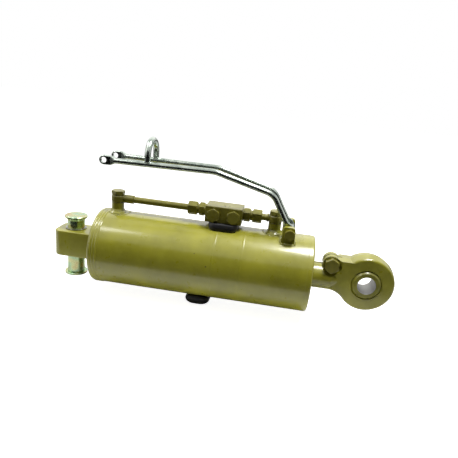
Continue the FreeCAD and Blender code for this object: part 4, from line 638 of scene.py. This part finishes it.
def moulding(name, node, half_wide, corner, way, rings):
    """A closed skin of rings, each a share of the full outline and a share of the full height."""
    node_low, node_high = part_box(node)
    middle_x = (node_low.x + node_high.x) / 2
    far_side = node_high.z if way > 0 else node_low.z
    half_long = (node_high.x - node_low.x) / 2
    outline = along_sides(rounded_rectangle(half_long, half_wide, corner, 8), 3 * MM)
    points = []
    for size, rise in rings:
        for x, y in outline:
            height = (1 - rise) * skin_height(y * size, way) + rise * far_side
            points.append((middle_x + x * size, y * size, height))
    count = len(outline)
    faces = [tuple(reversed(range(count)))]
    for start in range(0, (len(rings) - 1) * count, count):
        for step in range(count):
            after = (step + 1) % count
            faces.append((start + step, start + after, start + count + after, start + count + step))
    faces.append(tuple(range((len(rings) - 1) * count, len(rings) * count)))
    mesh = bpy.data.meshes.new(name)
    mesh.from_pydata(points, [], faces)
    if way < 0:
        mesh.flip_normals()
    mesh.polygons.foreach_set("use_smooth", [True] * len(mesh.polygons))
    mesh.materials.append(black_rubber)
    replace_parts(keep_piece(name, mesh, "barrel"), node)


# %% The pad and the buffer
PAD_STEPS, PAD_BULGE = 8, 0.07
PAD_NARROWED, PAD_CORNER = 0.5 * MM, 12 * MM
BUFFER_STEPS, BUFFER_ROUND = 12, 0.28
BUFFER_CORNER = 17 * MM
pad_rings = [(0.3, 0), (0.7, 0)]
for number in range(PAD_STEPS + 1):
    rise = number / PAD_STEPS
    bulge = PAD_BULGE * math.sin(math.pi * (0.1 + 0.85 * rise))
    pad_rings.append((1 - PAD_BULGE + bulge, rise))
pad_rings.append((0.6, 1))
pad_half_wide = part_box("valve_pad")[1].y - PAD_NARROWED
moulding("valve_pad_moulding", "valve_pad", pad_half_wide, PAD_CORNER, 1, pad_rings)

buffer_rings = [(0.3, 0)]
for number in range(BUFFER_STEPS + 1):
    turn = math.pi * number / BUFFER_STEPS
    buffer_rings.append((1 - BUFFER_ROUND * (1 - math.sin(turn)), (1 - math.cos(turn)) / 2))
buffer_rings.append((0.3, 1))
buffer_half_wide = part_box("rubber_buffer")[1].y
moulding("buffer_moulding", "rubber_buffer", buffer_half_wide, BUFFER_CORNER, -1, buffer_rings)

# %% [markdown]
# The camera stands in front of the link, a little above it and right of its middle, turned a bit
# to the left, tipped down and rolled, so that the link seems to slope down to the right. Its three
# angles are given in workshop terms and turned into one rotation.

# %% Camera
CAMERA_PLACE = (0.3781, -0.7950, 0.3189)
YAW, PITCH, ROLL = (math.radians(angle) for angle in (-5.99, 17.68, 5.93))
FOCAL_LENGTH, SENSOR_WIDTH = 35.86, 36
eye = bpy.data.cameras.new("camera")
eye.lens = FOCAL_LENGTH
eye.sensor_width = SENSOR_WIDTH
camera = bpy.data.objects.new("camera", eye)
bpy.context.scene.collection.objects.link(camera)
forward = Vector((math.sin(YAW) * math.cos(PITCH), math.cos(YAW) * math.cos(PITCH), -math.sin(PITCH)))
level = Vector((math.cos(YAW), -math.sin(YAW), 0))
upright = level.cross(forward)
right = math.cos(ROLL) * level + math.sin(ROLL) * upright
up = -math.sin(ROLL) * level + math.cos(ROLL) * upright
turned_view = Matrix((right, up, -forward)).transposed().to_4x4()
camera.matrix_world = Matrix.Translation(CAMERA_PLACE) @ turned_view
bpy.context.scene.camera = camera
bpy.context.scene.view_settings.view_transform = "Standard"
print("camera stands", [round(value, 3) for value in camera.location], "m")

# %% [markdown]
# A glossy tube mirrors every lamp above it as a streak, and where a streak lies is only a matter
# of where its lamp hangs. So the two strong soft boxes hang beyond the tube's ends: the right one
# just lights up its right end, and the far left one isn't mirrored at all. A small strip in front
# lays the short streak at the left end. A wide, weak box behind separates the top from the room.

# %% Lamps
middle = (low + high) / 2
LAMPS = (("right_box", (0.63, -0.10, 1.25), (0.48, 0.34), 16.5),
         ("far_left_box", (-0.85, 0.12, 1.15), (0.4, 0.3), 8),
         ("left_strip", (-0.42, -0.52, 1.25), (0.22, 0.3), 2.2),
         ("back_box", (middle.x - 0.2, 1.0, 1.0), (1.6, 1.0), 3.5),
         ("left_box", (-1.2, -0.5, 0.6), (0.5, 0.5), 1.3))


def soft_box(name, place, size, power):
    """A rectangular area lamp aimed at the middle of the link, in metres and watts."""
    lamp = bpy.data.lights.new(name, "AREA")
    lamp.shape = "RECTANGLE"
    lamp.size, lamp.size_y = size
    lamp.energy = power
    holder = bpy.data.objects.new(name, lamp)
    bpy.context.scene.collection.objects.link(holder)
    holder.location = place
    holder.rotation_euler = (middle - Vector(place)).to_track_quat("-Z", "Y").to_euler()


for lamp_row in LAMPS:
    soft_box(*lamp_row)
print(len(LAMPS), "lamps hang round", [round(value, 3) for value in middle])

# %% [markdown]
# The world is white to the camera and to mirrors, and only a faint grey to everything else, so
# that the white room doesn't flatten the paint.

# %% World
ROOM_LIGHT, ROOM_SEEN = 0.07, 1.0
world = bpy.data.worlds.new("studio")
bpy.context.scene.world = world
world.use_nodes = True
sky = world.node_tree
rays = add(sky, "ShaderNodeLightPath").outputs
seen = add(sky, "ShaderNodeMath", {0: rays["Is Camera Ray"], 1: rays["Is Glossy Ray"]}, operation="MAXIMUM")
seen = add(sky, "ShaderNodeMath", {0: seen.outputs[0], 1: rays["Is Transmission Ray"]}, operation="MAXIMUM")
strength = spread(sky, seen.outputs[0], ROOM_LIGHT, ROOM_SEEN, 0.0, 1.0)
background = sky.nodes["Background"]
sky.links.new(strength, background.inputs["Strength"])
background.inputs["Color"].default_value = (1, 1, 1, 1)
print("room light", ROOM_LIGHT, "and room as seen", ROOM_SEEN)

# %% [markdown]
# The floor is white paper. It keeps the link's faint shadow, and far off it fades into the white
# room, so that no horizon shows: with distance its own colour goes and its glow, which only the
# camera sees, rises to plain white.

# %% White paper on the floor
FLOOR_HALF = 6
FLOOR_GLOW = 0.93
FADE = (0.7, 1.9)
floor_mesh = bpy.data.meshes.new("floor")
paper_signs = ((-1, -1), (1, -1), (1, 1), (-1, 1))
paper_corners = [(x * FLOOR_HALF, y * FLOOR_HALF, low.z) for x, y in paper_signs]
floor_mesh.from_pydata(paper_corners, [], [(0, 1, 2, 3)])
floor = bpy.data.objects.new("floor", floor_mesh)
bpy.context.scene.collection.objects.link(floor)
paper, tree, shader, place = finish("white_studio_paper")
flat = add(tree, "ShaderNodeVectorMath", {0: place, 1: (1, 1, 0)}, operation="MULTIPLY")
away = add(tree, "ShaderNodeVectorMath", {0: flat.outputs[0], 1: (middle.x, 0, 0)},
           operation="DISTANCE").outputs["Value"]
far = spread(tree, away, 0.0, 1.0, *FADE)
tree.links.new(blend_colour(tree, far, "#EEEEEC", "#000000"), shader.inputs["Base Color"])
shader.inputs["Roughness"].default_value = 0.9
shader.inputs["Specular IOR Level"].default_value = 0.1
rays = add(tree, "ShaderNodeLightPath").outputs
whiteness = spread(tree, far, FLOOR_GLOW, 1.0, 0.0, 1.0)
glow = add(tree, "ShaderNodeMath", {0: rays["Is Camera Ray"], 1: whiteness}, operation="MULTIPLY")
shader.inputs["Emission Color"].default_value = (1, 1, 1, 1)
tree.links.new(glow.outputs[0], shader.inputs["Emission Strength"])
floor_mesh.materials.append(paper)
print("the floor lies at", round(low.z / MM, 1), "mm")

# %% [markdown]
# White all round would wash the paint out and leave the plated bars without shape. So a studio
# lays black cloth in front of the work and hangs it behind the camera: it draws the dark band
# along the tube and the dark core in each bar. Here it is one sheet, flat on the floor up to an
# arc and upright from there, hidden from the camera itself.

# %% Black cloth in front
CLOTH_RADIUS, CLOTH_TOP = 1.6, 1.0
CLOTH_NEAR, CLOTH_HALF, CLOTH_LIFT = -0.17, 1.0, 0.002
CLOTH_START, CLOTH_SWEEP, CLOTH_STEPS = -132, 112, 24
cloth_points, cloth_faces = [], []
for step in range(CLOTH_STEPS + 1):
    share = step / CLOTH_STEPS
    turn = math.radians(CLOTH_START + CLOTH_SWEEP * share)
    far_x = middle.x + CLOTH_RADIUS * math.cos(turn)
    far_y = CLOTH_RADIUS * math.sin(turn)
    cloth_points.append((middle.x + CLOTH_HALF * (2 * share - 1), CLOTH_NEAR, low.z + CLOTH_LIFT))
    cloth_points.append((far_x, far_y, low.z + CLOTH_LIFT))
    cloth_points.append((far_x, far_y, CLOTH_TOP))
for first in range(0, 3 * CLOTH_STEPS, 3):
    cloth_faces.append((first, first + 3, first + 4, first + 1))
    cloth_faces.append((first + 1, first + 4, first + 5, first + 2))
cloth_mesh = bpy.data.meshes.new("black_cloth")
cloth_mesh.from_pydata(cloth_points, [], cloth_faces)
cloth = bpy.data.objects.new("black_cloth", cloth_mesh)
bpy.context.scene.collection.objects.link(cloth)
cloth.visible_camera = False
cloth.visible_shadow = False
felt, tree, shader, place = finish("black_studio_felt")
shader.inputs["Base Color"].default_value = linear("#1E1E1E")
shader.inputs["Roughness"].default_value = 1.0
shader.inputs["Specular IOR Level"].default_value = 0.0
cloth_mesh.materials.append(felt)
print("the cloth has", len(cloth_faces), "faces")
